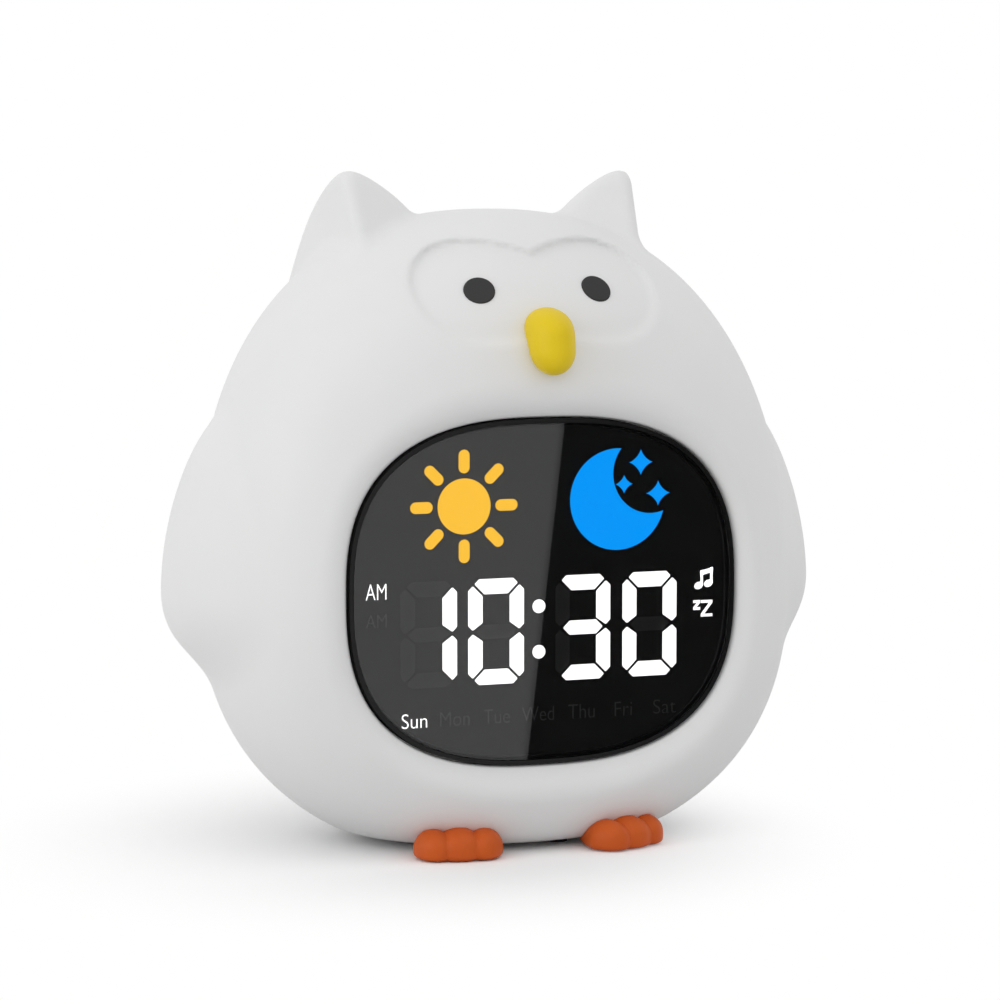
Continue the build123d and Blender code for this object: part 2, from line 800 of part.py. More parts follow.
def reflector_block():
    """The opaque block that carries every glowing inlay in its front."""
    block = window_prism(-block_inset, block_front, block_back)
    inlays = lit_segments() + unlit_segments() + sun_icon() + moon_icon() + small_windows()
    return block - inlays


def display_pcb():
    x, z = window_corner(radians(display_post_angle), display_post_gap)
    width, height = 2 * (x + display_board_margin[0]), 2 * (z + display_board_margin[1])
    plane = Plane((0, block_back, window_level), x_dir=(1, 0, 0), z_dir=(0, 1, 0))
    board = extrude(plane * RectangleRounded(width, height, display_board_corner), amount=board_thickness)
    for place in display_posts():
        board -= rod(place, screw_radius + screw_clearance, block_back - 1, block_back + board_thickness + 1)
    return board


def display_chips():
    """The driver chips and the ribbon socket on the rear of the display board."""
    back = block_back + board_thickness
    pieces = []
    for (x, z), size in zip(display_chip_places, display_chip_sizes):
        for side in (-1, 1):
            pieces.append(box_at((side * x, back + size[1] / 2, window_level + z), size))
    middle = back + ribbon_socket_size[1] / 2
    pieces.append(box_at((0, middle, ribbon_level - ribbon_socket_drop), ribbon_socket_size))
    return pieces


def display_screws():
    seat = block_back + board_thickness
    length = seat - plate_back - pilot_blind - screw_tip_gap
    return [screw(place, seat, length, to_front) for place in display_posts()]


# ---------------------------------------------------------------- rear control panel
def panel_screw_places():
    places = []
    for step in range(4):
        angle = radians(45 + 90 * step)
        places.append((panel_screw_circle * cos(angle), panel_level + panel_screw_circle * sin(angle)))
    return places


def button_places():
    return [(x, panel_level + z) for z in button_rows for x in button_columns]


def rear_panel():
    """Round plate with openings for the buttons, the slider, the socket and the loudspeaker."""
    panel = rod((0, panel_level), panel_radius, panel_front, panel_plane)
    rim = panel.edges().filter_by(GeomType.CIRCLE).sort_by(Axis.Y)[-1]
    panel = chamfer(rim, panel_chamfer)
    for side in (-1, 1):
        place = main_post(side)
        panel += rod(place, main_post_radius, main_board_plane, panel_front + joint_overlap)
        width, depth, thickness = usb_shelf_size
        shelf_x = side * (usb_board_size[0] - width) / 2
        panel += box_at((shelf_x, panel_front - depth / 2 + joint_overlap, usb_shelf_top() - thickness / 2),
                        (width, depth, thickness))
    for place in button_places():
        size = [value + 2 * button_clearance for value in button_size]
        panel -= rounded_bar(place, size, panel_front - 1, panel_plane + 1)
    panel -= rounded_bar((0, panel_level + slider_level), slider_slot, panel_front - 1, panel_plane + 1)
    hole = [usb_socket_size[0] + 2 * usb_hole_clearance, usb_socket_size[2] + 2 * usb_hole_clearance]
    panel -= rounded_bar((0, panel_level + usb_level), hole, panel_front - 1, panel_plane + 1)
    for row in range(grille_rows):
        for column in range(grille_columns):
            x = (column - (grille_columns - 1) / 2) * grille_pitch
            z = panel_level + speaker_level + (row - (grille_rows - 1) / 2) * grille_pitch
            panel -= rod((x, z), grille_hole_radius, panel_front - 1, panel_plane + 1)
    for place in panel_screw_places():
        panel -= rod(place, screw_radius + screw_clearance, panel_front - 1, panel_plane + 1)
        panel -= rod(place, screw_head_radius + screw_clearance, panel_plane - screw_head_height,
                     panel_plane + 1)
    for side in (-1, 1):
        place = main_post(side)
        panel -= rod(place, screw_radius, main_board_plane - 1, panel_front - pilot_blind)
    return panel


def panel_screws():
    length = panel_thickness - screw_head_height + seat_depth - screw_tip_gap
    return [screw(place, panel_plane - screw_head_height, length, to_front) for place in panel_screw_places()]


def button(place):
    """A cap that stands through the panel, with a flange behind it and a stem to the switch."""
    cap = rounded_bar(place, button_size, panel_front - button_clearance, panel_plane + button_proud)
    rim = cap.faces().sort_by(Axis.Y)[-1].edges()
    cap = fillet(rim, button_round)
    flange_size = [value + 2 * button_flange for value in button_size]
    flange_back = panel_front - button_clearance
    cap += rounded_bar(place, flange_size, flange_back - button_flange_depth, flange_back)
    cap += rod(place, button_stem_radius, plunger_back(), flange_back - button_flange_depth)
    return cap


def plunger_back():
    """Depth at which a plunger ends and the stem of its cap begins."""
    return panel_front - button_clearance - button_flange_depth - button_stem_length


def plunger(place):
    body_back = main_board_plane + switch_body_depth
    return rod(place, plunger_radius, body_back - plunger_sink, plunger_back())


def switch_bodies():
    """The bodies of the six push switches, soldered to the main board."""
    bodies = []
    for x, z in button_places():
        body_back = main_board_plane + switch_body_depth
        body = box_at((x, (main_board_plane + body_back) / 2, z),
                      (switch_body_size, switch_body_depth, switch_body_size))
        well = body_back - plunger_sink - button_travel - plunger_end_gap
        body -= rod((x, z), plunger_radius + plunger_clearance, well, body_back + 1)
        bodies.append(body)
    return bodies


def slider_body():
    """The body of the alarm slide switch, with a slot for its knob."""
    width, height, depth = slider_body_size
    level = panel_level + slider_level
    body = box_at((0, panel_front - depth / 2, level), (width, depth, height))
    slot_width = slider_travel + slider_knob_width + 2 * slider_clearance
    slot_depth = slider_tail_depth + 2 * slider_clearance
    slot_height = slider_tail_height + 2 * slider_clearance
    body -= box_at((0, panel_front - slot_depth / 2, level), (slot_width, slot_depth, slot_height))
    leg_depth = panel_front - depth - main_board_plane
    legs = [box_at((x, main_board_plane + leg_depth / 2, level), (slider_leg, leg_depth, slider_leg))
            for x in (-slider_leg_pitch, 0, slider_leg_pitch)]
    return body + legs


def slider_knob():
    """The knob of the alarm switch, at the middle of its travel."""
    level = panel_level + slider_level
    knob = box_at((0, panel_front - slider_tail_depth / 2, level),
                  (slider_knob_width, slider_tail_depth, slider_tail_height))
    reach = panel_thickness + slider_proud
    knob += box_at((0, panel_front + reach / 2, level),
                   (slider_knob_width, reach, slider_slot[1] - 2 * slider_slot_clearance))
    return knob


def main_pcb():
    width, height = main_board_size
    front = main_board_plane - board_thickness
    board = box_at((0, front + board_thickness / 2, main_board_level), (width, board_thickness, height))
    for side in (-1, 1):
        place = main_post(side)
        board -= rod(place, screw_radius + screw_clearance, front - 1, main_board_plane + 1)
    return board


def main_chips():
    """The processor, the sound chip, a coil, the clock crystal and the ribbon socket."""
    front = main_board_plane - board_thickness
    pieces = []
    for (x, z), size in zip(main_chip_places, main_chip_sizes):
        pieces.append(box_at((x, front - size[1] / 2, main_board_level + z), size))
    middle = front - ribbon_socket_size[1] / 2
    pieces.append(box_at((0, middle, ribbon_level - ribbon_socket_drop), ribbon_socket_size))
    return pieces


def ribbon_cable():
    """The flat cable between the two ribbon sockets, resting on both."""
    front = block_back + board_thickness
    back = main_board_plane - board_thickness
    width, thickness = ribbon_size
    bottom = ribbon_level - ribbon_socket_drop + ribbon_socket_size[2] / 2
    return box_at((0, (front + back) / 2, bottom + thickness / 2), (width, back - front, thickness))


def board_screws():
    """Screws that hold the main board to the panel posts, from the front."""
    pieces = []
    seat = main_board_plane - board_thickness
    for side in (-1, 1):
        place = main_post(side)
        pieces.append(screw(place, seat, board_thickness + board_screw_length, to_back))
    return pieces


def main_post(side):
    """The post and screw of the main board on one side, as (x, z)."""
    return (side * (main_board_size[0] / 2 - main_post_edge), panel_level + main_post_lift)


def usb_shelf_top():
    """Height of the shelves that the socket board rests on."""
    return panel_level + usb_level - usb_socket_size[2] / 2 - usb_board_size[2]


def usb_board():
    width, depth, thickness = usb_board_size
    return box_at((0, panel_front - depth / 2, usb_shelf_top() + thickness / 2), (width, depth, thickness))


def usb_socket():
    """The metal shell of the power socket, flush with the panel."""
    width, depth, height = usb_socket_size
    centre = (0, panel_level + usb_level)
    back = panel_plane
    shell = rounded_bar(centre, (width, height), back - depth, back)
    inner = (width - 2 * usb_wall, height - 2 * usb_wall)
    return shell - rounded_bar(centre, inner, back - depth + usb_wall, back + 1)


def usb_tongue():
    width, depth, height = usb_tongue_size
    back = panel_plane
    start = back - usb_socket_size[1] + usb_wall
    return box_at((0, start + depth / 2, panel_level + usb_level), (width, depth, height))


# ---------------------------------------------------------------- loudspeaker
def speaker_frame():
    """The open basket, its rim against the inside of the panel."""
    place = (0, panel_level + speaker_level)
    width, height = speaker_size
    back = panel_front
    frame = rounded_bar(place, speaker_size, back - speaker_depth, back)
    inner = (width - 2 * speaker_rim, height - 2 * speaker_rim)
    frame -= rounded_bar(place, inner, back - speaker_depth + speaker_floor, back + 1)
    return frame - rod(place, coil_radius + coil_clearance, back - speaker_depth - 1, back)


def speaker_cone():
    """The moving cone and its voice coil."""
    place = (0, panel_level + speaker_level)
    width, height = speaker_size
    size = (width - 2 * speaker_rim - 2 * cone_clearance, height - 2 * speaker_rim - 2 * cone_clearance)
    back = panel_front - cone_depth
    cone = rounded_bar(place, size, back - cone_thickness, back)
    cone += rod(place, coil_radius, back - cone_thickness - coil_length, back - cone_thickness)
    return cone


def speaker_magnet():
    """The magnet on the inner end of the basket."""
    width, height, depth = magnet_size
    front = panel_front - speaker_depth - depth
    return box_at((0, front + depth / 2, panel_level + speaker_level), (width, depth, height))


# ---------------------------------------------------------------- base
def base_screws_xy():
    x, y = base_half_width - base_screw_edges[0], base_half_depth - base_screw_edges[1]
    return [(sx * x, lean_at(0) + sy * y) for sx in (-1, 1) for sy in (-1, 1)]


def cup_axis():
    return (0, lean_at(0))


def sector(radius, bottom, top, start, sweep):
    """A pie slice around the cup's axis."""
    x, y = cup_axis()
    half = radians(sweep / 2)
    far = 1.2 * radius
    corners = [(0, 0), (far * cos(half), -far * sin(half)), (far * cos(half), far * sin(half))]
    wedge = make_face(Polyline(*corners, close=True))
    wedge = Pos(x, y, bottom) * Rot(0, 0, start) * extrude(wedge, amount=top - bottom)
    return wedge & upright((x, y), radius, bottom, top)


def base_plate():
    """Oval plate under the base, with the raised cup for the coin cell."""
    axis = cup_axis()
    plate = base_oval(0, skin_underside, skin_underside + base_thickness)
    plate += upright(axis, cup_radius, skin_underside, skin_underside + cup_height)
    seat_top = door_bottom + door_thickness + door_clearance
    flange_top = seat_top + flange_depth
    groove_top = flange_top + lug_thickness + 2 * door_clearance
    plate -= upright(axis, door_radius + door_clearance, skin_underside - 1, seat_top)
    plate -= upright(axis, cup_bore, skin_underside - 1, skin_underside + cup_height - cup_roof)
    plate -= upright(axis, lug_radius + door_clearance, flange_top, groove_top)
    for step in range(3):
        plate -= sector(lug_radius + door_clearance, seat_top - 1, flange_top + joint_overlap,
                        60 + 120 * step, notch_angle)
    for place in base_screws_xy():
        plate -= upright(place, screw_radius + screw_clearance, 0, floor_level)
        plate -= upright(place, screw_head_radius + screw_clearance, 0, skin_underside + screw_head_height)
    return plate


def base_screws():
    pieces = []
    for x, y in base_screws_xy():
        seat = skin_underside + screw_head_height
        shank = upright((x, y), screw_radius - thread_clearance, seat, floor_level + housing_wall)
        head = upright((x, y), screw_head_radius, skin_underside, seat)
        length, width, recess = screw_cross
        middle = (x, y, skin_underside + recess / 2)
        cross = box_at(middle, (length, width, recess)) + box_at(middle, (width, length, recess))
        pieces.append(head + shank - cross)
    return pieces


def coin_door():
    """Round door over the coin cell, turned with a coin; its three lugs hold behind the flange."""
    axis = cup_axis()
    seat_top = door_bottom + door_thickness + door_clearance
    lug_bottom = seat_top + flange_depth + door_clearance
    door = upright(axis, door_radius, door_bottom, door_bottom + door_thickness)
    neck_bottom = door_bottom + door_thickness - joint_overlap
    door += upright(axis, door_neck_radius, neck_bottom, lug_bottom + lug_thickness)
    for step in range(3):
        door += sector(lug_radius, lug_bottom, lug_bottom + lug_thickness, 120 * step, lug_angle)
    length, width, depth = coin_slot
    door -= box_at((axis[0], axis[1], door_bottom + depth / 2), (length, width, depth))
    return door


def coin_level():
    """Underside of the coin cell, above the closed door."""
    seat_top = door_bottom + door_thickness + door_clearance
    return seat_top + flange_depth + door_clearance + lug_thickness + coin_gap


def coin_cell():
    return upright(cup_axis(), coin_cell_radius, coin_level(), coin_level() + coin_cell_height)


def coin_spring():
    """The dished contact spring between the cell and the roof of the cup."""
    x, y = cup_axis()
    roof = skin_underside + cup_height - cup_roof
    bottom = coin_level() + coin_cell_height
    ring = upright((x, y), coin_spring_radius, bottom, roof)
    return ring - upright((x, y), coin_spring_bore, bottom - 1, roof + 1)


def foot_pads():
    """Thin rubber pads under the base plate."""
    x, y = pad_place, base_half_depth - pad_edge
    return [upright((sx * x, lean_at(0) + sy * y), pad_radius, 0, skin_underside)
            for sx in (-1, 1) for sy in (-1, 1)]


# ---------------------------------------------------------------- inside
def nightlight_board():
    width, depth = lamp_board_size
    return box_at((0, lamp_board_depth, lamp_board_level + board_thickness / 2),
                  (width, depth, board_thickness))


def nightlight_leds():
    """A row of warm lamps along each long edge of the lamp board."""
    top = lamp_board_level + board_thickness
    width, depth, height = lamp_size
    pieces = []
    for row in (-1, 1):
        for step in range(lamp_count // 2):
            x = (step - (lamp_count // 2 - 1) / 2) * lamp_pitch
            y = lamp_board_depth + row * (lamp_board_size[1] / 2 - lamp_edge)
            pieces.append(box_at((x, y, top + height / 2), (width, depth, height)))
    return pieces


def touch_spring():
    """The coil that carries the touch sense from the lamp board up to the crown."""
    top = crown_level - cavity_inset - spring_top_gap
    bottom = lamp_board_level + board_thickness
    height = top - bottom
    path = Helix(height / spring_turns, height - 2 * spring_wire, spring_radius)
    coil = sweep(Plane(path @ 0, z_dir=path % 0) * Circle(spring_wire), path)
    return Pos(0, spring_depth, bottom + spring_wire) * coil


def battery():
    """The rechargeable round cell, lying across the housing."""
    cell = Rot(0, 90, 0) * Cylinder(battery_radius, battery_length)
    radius, height = battery_tip
    tip = Pos((battery_length + height) / 2, 0, 0) * Rot(0, 90, 0) * Cylinder(radius, height)
    return Pos(0, battery_depth, battery_level) * (cell + tip)


# ---------------------------------------------------------------- write the files
def write(name, shape, shift):
    """Write one piece, or a set of like pieces, as one file, moved back by the shift."""
    solids = shape if isinstance(shape, list) else [shape]
    solids = [Pos(0, shift, 0) * solid for piece in solids for solid in piece.solids()]
    whole = solids[0] if len(solids) == 1 else Compound(children=solids)
    export_step(whole, os.path.join("parts", name + ".step"))


def main():
    os.makedirs("parts", exist_ok=True)
    skin = silicone_skin()
    bill = beak()
    # The origin lies under the middle of the outline, between the beak and the back.
    shift = -(skin.bounding_box().max.Y + bill.bounding_box().min.Y) / 2
    print("shift", round(shift, 4))
    pieces = {"silicone_skin": skin, "beak": bill, "left_eye": eye(-1), "right_eye": eye(1),
              "left_foot": foot(-1), "right_foot": foot(1),
              "front_housing": front_housing(), "rear_housing": rear_housing(),
              "housing_screws": housing_screws(), "display_bezel": display_bezel(),
              "display_lens": display_lens(), "lens_gasket": lens_gasket(),
              "reflector_block": reflector_block(), "lit_segments": lit_segments(),
              "unlit_segments": unlit_segments(), "sun_icon": sun_icon(), "moon_icon": moon_icon(),
              "small_windows": small_windows(), "display_pcb": display_pcb(),
              "display_chips": display_chips(), "display_screws": display_screws(),
              "rear_panel": rear_panel(), "panel_screws": panel_screws(),
              "switch_bodies": switch_bodies(), "alarm_slider_body": slider_body(),
              "alarm_slider_knob": slider_knob(), "main_pcb": main_pcb(), "main_chips": main_chips(),
              "board_screws": board_screws(), "ribbon_cable": ribbon_cable(),
              "usb_board": usb_board(), "usb_socket": usb_socket(), "usb_tongue": usb_tongue(),
              "speaker_frame": speaker_frame(), "speaker_cone": speaker_cone(),
              "speaker_magnet": speaker_magnet(), "base_plate": base_plate(),
              "base_screws": base_screws(), "coin_door": coin_door(), "coin_cell": coin_cell(),
              "coin_spring": coin_spring(), "foot_pads": foot_pads(),
              "nightlight_board": nightlight_board(), "nightlight_leds": nightlight_leds(),
              "touch_spring": touch_spring(), "battery": battery()}
    for name, place in zip(button_names, button_places()):
        pieces[name + "_button"] = button(place)
        pieces[name + "_plunger"] = plunger(place)
    for name, shape in pieces.items():
        write(name, shape, shift)


main()
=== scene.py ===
from math import atan, cos, pi, radians, sin, tan

import bmesh
import bpy
import numpy as np
from mathutils import Euler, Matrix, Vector


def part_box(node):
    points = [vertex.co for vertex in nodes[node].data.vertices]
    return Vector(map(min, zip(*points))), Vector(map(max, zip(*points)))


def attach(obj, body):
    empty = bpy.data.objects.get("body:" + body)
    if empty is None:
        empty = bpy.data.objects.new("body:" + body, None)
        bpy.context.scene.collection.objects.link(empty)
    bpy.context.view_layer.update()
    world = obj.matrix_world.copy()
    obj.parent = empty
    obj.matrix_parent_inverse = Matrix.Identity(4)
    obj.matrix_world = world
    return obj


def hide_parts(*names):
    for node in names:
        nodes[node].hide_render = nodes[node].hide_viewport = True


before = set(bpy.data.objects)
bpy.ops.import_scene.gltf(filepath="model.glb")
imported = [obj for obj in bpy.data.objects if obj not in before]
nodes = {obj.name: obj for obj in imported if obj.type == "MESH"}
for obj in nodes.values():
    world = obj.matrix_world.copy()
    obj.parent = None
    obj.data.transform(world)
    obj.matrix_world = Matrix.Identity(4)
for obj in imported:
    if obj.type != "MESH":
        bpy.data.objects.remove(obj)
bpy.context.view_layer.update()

mm = 0.001
tiny = 1e-9              # keeps a division off zero
tinySquare = 1e-12

# shapes are worked out in millimetres about the upright axis of the egg,
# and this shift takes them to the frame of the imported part
lensFront = -29.3        # front of the lens, from the egg's axis
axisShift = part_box("display_lens")[0][1] / mm - lensFront


# fields of distance, negative inside a shape
def smoothMin(a, b, blend):
    h = np.clip(0.5 + 0.5 * (b - a) / blend, 0, 1)
    return b + (a - b) * h - blend * h * (1 - h)


def smoothMax(a, b, blend):
    return -smoothMin(-a, -b, blend)


def ellipsoid(x, y, z, centre, radii):
    q = [(x - centre[0]) / radii[0], (y - centre[1]) / radii[1], (z - centre[2]) / radii[2]]
    k0 = np.sqrt(q[0] ** 2 + q[1] ** 2 + q[2] ** 2) + tiny
    k1 = np.sqrt((q[0] / radii[0]) ** 2 + (q[1] / radii[1]) ** 2 + (q[2] / radii[2]) ** 2) + tiny
    return k0 * (k0 - 1) / k1


def makeObject(name, verts, faces, smooth=True):
    mesh = bpy.data.meshes.new(name)
    mesh.from_pydata(verts, [], faces)
    mesh.update()
    obj = bpy.data.objects.new(name, mesh)
    bpy.context.scene.collection.objects.link(obj)
    if smooth:
        mesh.polygons.foreach_set("use_smooth", [True] * len(mesh.polygons))
    return obj


def toFrame(points):
    # millimetres about the egg's axis, to metres in the part's frame
    return (np.array(points, float) + [0, axisShift, 0]) * mm


# how the points of a net come to rest on a field
net = {"slopeReach": 0.05, "leastSlope": 1e-6, "firstRounds": 6, "relaxRounds": 3, "settleRounds": 3}


def settle(field, points, rounds, limit):
    # walk each point down the slope of the field, until it lies on the surface
    reach = net["slopeReach"]
    for _ in range(rounds):
        x, y, z = points.T
        value = field(x, y, z)
        slope = np.stack([field(x + reach, y, z) - field(x - reach, y, z),
                          field(x, y + reach, z) - field(x, y - reach, z),
                          field(x, y, z + reach) - field(x, y, z - reach)], 1) / (2 * reach)
        move = slope * (value / ((slope ** 2).sum(1) + net["leastSlope"]))[:, None]
        length = np.linalg.norm(move, axis=1)[:, None] + tiny
        points = points - move * np.minimum(1, limit / length)
    return points


def netMesh(name, field, low, high, step, keep=None):
    # a net of quads on the zero level of a field: one point for each cell of a
    # grid that the surface crosses, slid onto the surface and evened out; where keep
    # is given, only the quads whose middle it takes stay
    axes = [np.arange(lo, hi + step, step) for lo, hi in zip(low, high)]
    x, y, z = np.meshgrid(*axes, indexing="ij")
    inside = field(x, y, z) < 0
    count = np.zeros([n - 1 for n in inside.shape], np.int8)
    for i in (0, 1):
        for j in (0, 1):
            for k in (0, 1):
                count += inside[i:inside.shape[0] - 1 + i, j:inside.shape[1] - 1 + j,
                                k:inside.shape[2] - 1 + k]
    mixed = (count > 0) & (count < 8)
    cell = np.full(mixed.shape, -1)
    cell[mixed] = np.arange(mixed.sum())
    points = np.array(low) + (np.argwhere(mixed) + 0.5) * step
    quads = []
    for axis in range(3):
        side = np.moveaxis(inside, axis, 0)
        ids = np.moveaxis(cell, axis, 0)
        here, ahead = side[:-1, 1:-1, 1:-1], side[1:, 1:-1, 1:-1]
        i, j, k = np.nonzero(here != ahead)
        quad = np.stack([ids[i, j, k], ids[i, j + 1, k], ids[i, j + 1, k + 1], ids[i, j, k + 1]], 1)
        turn = here[i, j, k] if axis != 1 else ~here[i, j, k]
        quads.append(np.where(turn[:, None], quad, quad[:, ::-1]))
    quads = np.concatenate(quads)
    points = settle(field, points, net["firstRounds"], step)
    edges = np.concatenate([quads[:, [a, (a + 1) % 4]] for a in range(4)])
    for _ in range(net["relaxRounds"]):
        total = np.zeros_like(points)
        degree = np.zeros(len(points))
        for a, b in ((0, 1), (1, 0)):
            np.add.at(total, edges[:, a], points[edges[:, b]])
            np.add.at(degree, edges[:, a], 1)
        evened = 0.5 * points + 0.5 * total / degree[:, None]
        points = settle(field, evened, net["settleRounds"], step)
    if keep is not None:
        middle = points[quads].mean(1)
        quads = quads[keep(middle[:, 0], middle[:, 1], middle[:, 2])]
        used, quads = np.unique(quads, return_inverse=True)
        points, quads = points[used], quads.reshape(-1, 4)
    return makeObject(name, toFrame(points).tolist(), quads.tolist())


def standFor(obj, node, body="clock"):
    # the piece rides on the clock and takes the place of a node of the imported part
    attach(obj, body)
    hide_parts(node)


# the soft skin: openTo and openFrom say how deep a hole is cut, shownTo and shownFrom where its
# wall ends behind the piece that fills it
egg = {"halfWidth": 61.2, "halfDepth": 48.2, "rise": 75.1, "drop": 55.0, "widestLevel": 50.9,
       "curve": 2.34, "lean": 0.073, "leanLevel": 62.8, "depthLoss": 0.16, "farthest": 1.3,
       "faceDepth": 34.1, "faceBlend": 12.0, "underside": 0.8, "undersideBlend": 3.0}
wing = {"centre": (51.0, 2.3, 53.1), "halfWidth": 17.3, "halfDepth": 22.4, "rise": 30.9, "drop": 18.4,
        "taper": 0.29, "taperFrom": -0.5, "splay": -9.3, "blend": 5.0}
ear = {"tip": (31.1, 4.2, 137.6), "frontEdge": (-1.0, -7.9), "rearEdge": (5.1, 18.0),
       "innerEdge": (-24.3, -0.6), "fall": 15.0, "round": 2.5, "cap": (28.3, 4.8, 134.4), "capRadius": 8.85,
       "capRound": 3.0, "root": 105.3, "rootBlend": 6.0, "innerBlend": 1.8, "outerBlend": 2.6,
       "blendFade": 3.0}
window = {"halfWidth": 40.2, "halfHeight": 33.9, "curve": 2.66, "level": 51.9, "gap": 0.3,
          "floorDepth": 28.4, "slope": 58.0, "slopeBlend": 4.8, "lipRound": 0.4, "openTo": 20.0,
          "shownRim": 1.5, "shownTo": -26.0}
mask = {"middle": 1.05, "lobe": 12.6, "level": 110.2, "outer": 13.2, "inner": 19.0, "halfHeight": 10.25,
        "depth": 0.75, "upperDepth": 1.5, "deepensFrom": 105.0, "deepensOver": 13.0, "farInside": -20.0,
        "edgeRound": 0.6, "floorRound": 2.4, "cleftBlend": 1.0}
rearHole = {"level": 62.0, "radius": 28.3, "round": 1.6, "openFrom": 30.0, "shownRim": 1.5, "shownFrom": 37.0}
baseHole = {"halfWidth": 23.3, "halfDepth": 17.3, "round": 1.2, "openTo": 8.0, "shownShare": 1.08,
            "shownTo": 3.2, "shownFrom": 12.0}
# the box of the net and its spacing
skinNet = {"low": (-72.0, -40.0, -1.6), "high": (72.0, 50.0, 135.2), "step": 0.8}


def leanAt(level):
    # how far back the egg's middle lies at a level
    return egg["lean"] * (level - egg["leanLevel"])


def eggField(x, y, z):
    # a round body that leans back, fullest at its widest level and narrower in depth away from it
    h = z - egg["widestLevel"]
    halfHeight = np.where(h > 0, egg["rise"], egg["drop"])
    hh = np.minimum(np.abs(h) / halfHeight, egg["farthest"]) + tiny
    halfDepth = egg["halfDepth"] * (1 - egg["depthLoss"] * hh ** 2)
    ys = y - leanAt(z)
    m = egg["curve"]
    rr = np.sqrt((x / egg["halfWidth"]) ** 2 + (ys / halfDepth) ** 2) + tiny
    total = rr ** m + hh ** m
    g = total ** (1 / m - 1)
    gx = g * rr ** (m - 2) * x / egg["halfWidth"] ** 2
    gy = g * rr ** (m - 2) * ys / halfDepth ** 2
    gz = g * hh ** (m - 1) / halfHeight * np.sign(h) - gy * egg["lean"]
    return (total ** (1 / m) - 1) / np.sqrt(gx ** 2 + gy ** 2 + gz ** 2)


def wingField(x, y, z):
    # a swelling on each side, slimmer towards its top
    ax = np.abs(x) - wing["centre"][0]
    az = z - wing["centre"][2]
    c, s = cos(radians(wing["splay"])), sin(radians(wing["splay"]))
    across, along = ax * c + az * s, -ax * s + az * c
    swell = 1 - wing["taper"] * np.clip(along / wing["rise"], wing["taperFrom"], 1)
    reach = np.where(along > 0, wing["rise"], wing["drop"])
    return ellipsoid(across / swell, (y - wing["centre"][1]) / swell, along, (0, 0, 0),
                     (wing["halfWidth"], wing["halfDepth"], reach))


def earField(x, y, z):
    # three flat sides with soft edges between them, under a dome that rounds the tip
    tip = np.array(ear["tip"])
    runs = (ear["frontEdge"], ear["rearEdge"], ear["innerEdge"])
    edges = [np.array([run[0], run[1], -ear["fall"]]) for run in runs]
    middle = sum(edges)
    field = None
    for a, b in ((0, 1), (0, 2), (1, 2)):
        normal = np.cross(edges[a], edges[b])
        normal = normal / np.linalg.norm(normal)
        if normal @ middle > 0:
            normal = -normal
        side = (np.abs(x) - tip[0]) * normal[0] + (y - tip[1]) * normal[1] + (z - tip[2]) * normal[2]
        field = side if field is None else smoothMax(field, side, ear["round"])
    capX, capY, capZ = ear["cap"]
    away = (np.abs(x) - capX) ** 2 + (y - capY) ** 2
    dome = (z - capZ + away / (2 * ear["capRadius"])) / np.sqrt(1 + away / ear["capRadius"] ** 2)
    field = smoothMax(field, dome, ear["capRound"])
    return smoothMax(field, ear["root"] - z, ear["rootBlend"])


def windowField(x, z):
    # distance outside the display's outline, seen from the front
    w, h, n = window["halfWidth"], window["halfHeight"], window["curve"]
    ax, az = np.abs(x) / w, np.abs(z - window["level"]) / h
    q = ax ** n + az ** n + tinySquare
    g = q ** (1 / n - 1)
    slope = np.sqrt((g * ax ** (n - 1) / w) ** 2 + (g * az ** (n - 1) / h) ** 2 + tinySquare)
    return (q ** (1 / n) - 1) / slope


def maskField(x, z):
    # distance outside the two joined eye hollows, seen from the front
    lobes = []
    for side in (-1, 1):
        u = side * (x - mask["middle"]) - mask["lobe"]
        reach = np.where(u > 0, mask["outer"], mask["inner"])
        qx, qz = u / reach, (z - mask["level"]) / mask["halfHeight"]
        k0 = np.sqrt(qx ** 2 + qz ** 2) + tiny
        k1 = np.sqrt((qx / reach) ** 2 + (qz / mask["halfHeight"]) ** 2) + tiny
        lobes.append(k0 * (k0 - 1) / k1)
    return smoothMin(lobes[0], lobes[1], mask["cleftBlend"])


def solidField(x, y, z):
    # egg with its flattened front, wings and ears, before anything is cut
    field = smoothMax(eggField(x, y, z), -(y + egg["faceDepth"]), egg["faceBlend"])
    field = smoothMin(field, wingField(x, y, z), wing["blend"])
    outer = 1 / (1 + np.exp((ear["cap"][0] - np.abs(x)) / ear["blendFade"]))
    blend = ear["innerBlend"] + (ear["outerBlend"] - ear["innerBlend"]) * outer
    field = smoothMin(field, earField(x, y, z), blend)
    return smoothMax(field, egg["underside"] - z, egg["undersideBlend"])


def faceField(x, y, z):
    # the body with the hollow around the display and the eye mask
    field = solidField(x, y, z)
    outside = windowField(x, z)
    slope = radians(window["slope"])
    tool = (y + window["floorDepth"] + tan(slope) * np.maximum(outside, 0)) * cos(slope)
    tool = np.where(outside < 0, y + window["floorDepth"], tool)
    field = smoothMax(field, -tool, window["slopeBlend"])
    hollow = np.where(y < 0, -maskField(x, z), mask["farInside"])
    upper = np.clip((z - mask["deepensFrom"]) / mask["deepensOver"], 0, 1)
    depth = mask["depth"] + (mask["upperDepth"] - mask["depth"]) * upper
    hollow = smoothMin(hollow, field + depth, mask["floorRound"])
    return smoothMax(field, hollow, mask["edgeRound"])


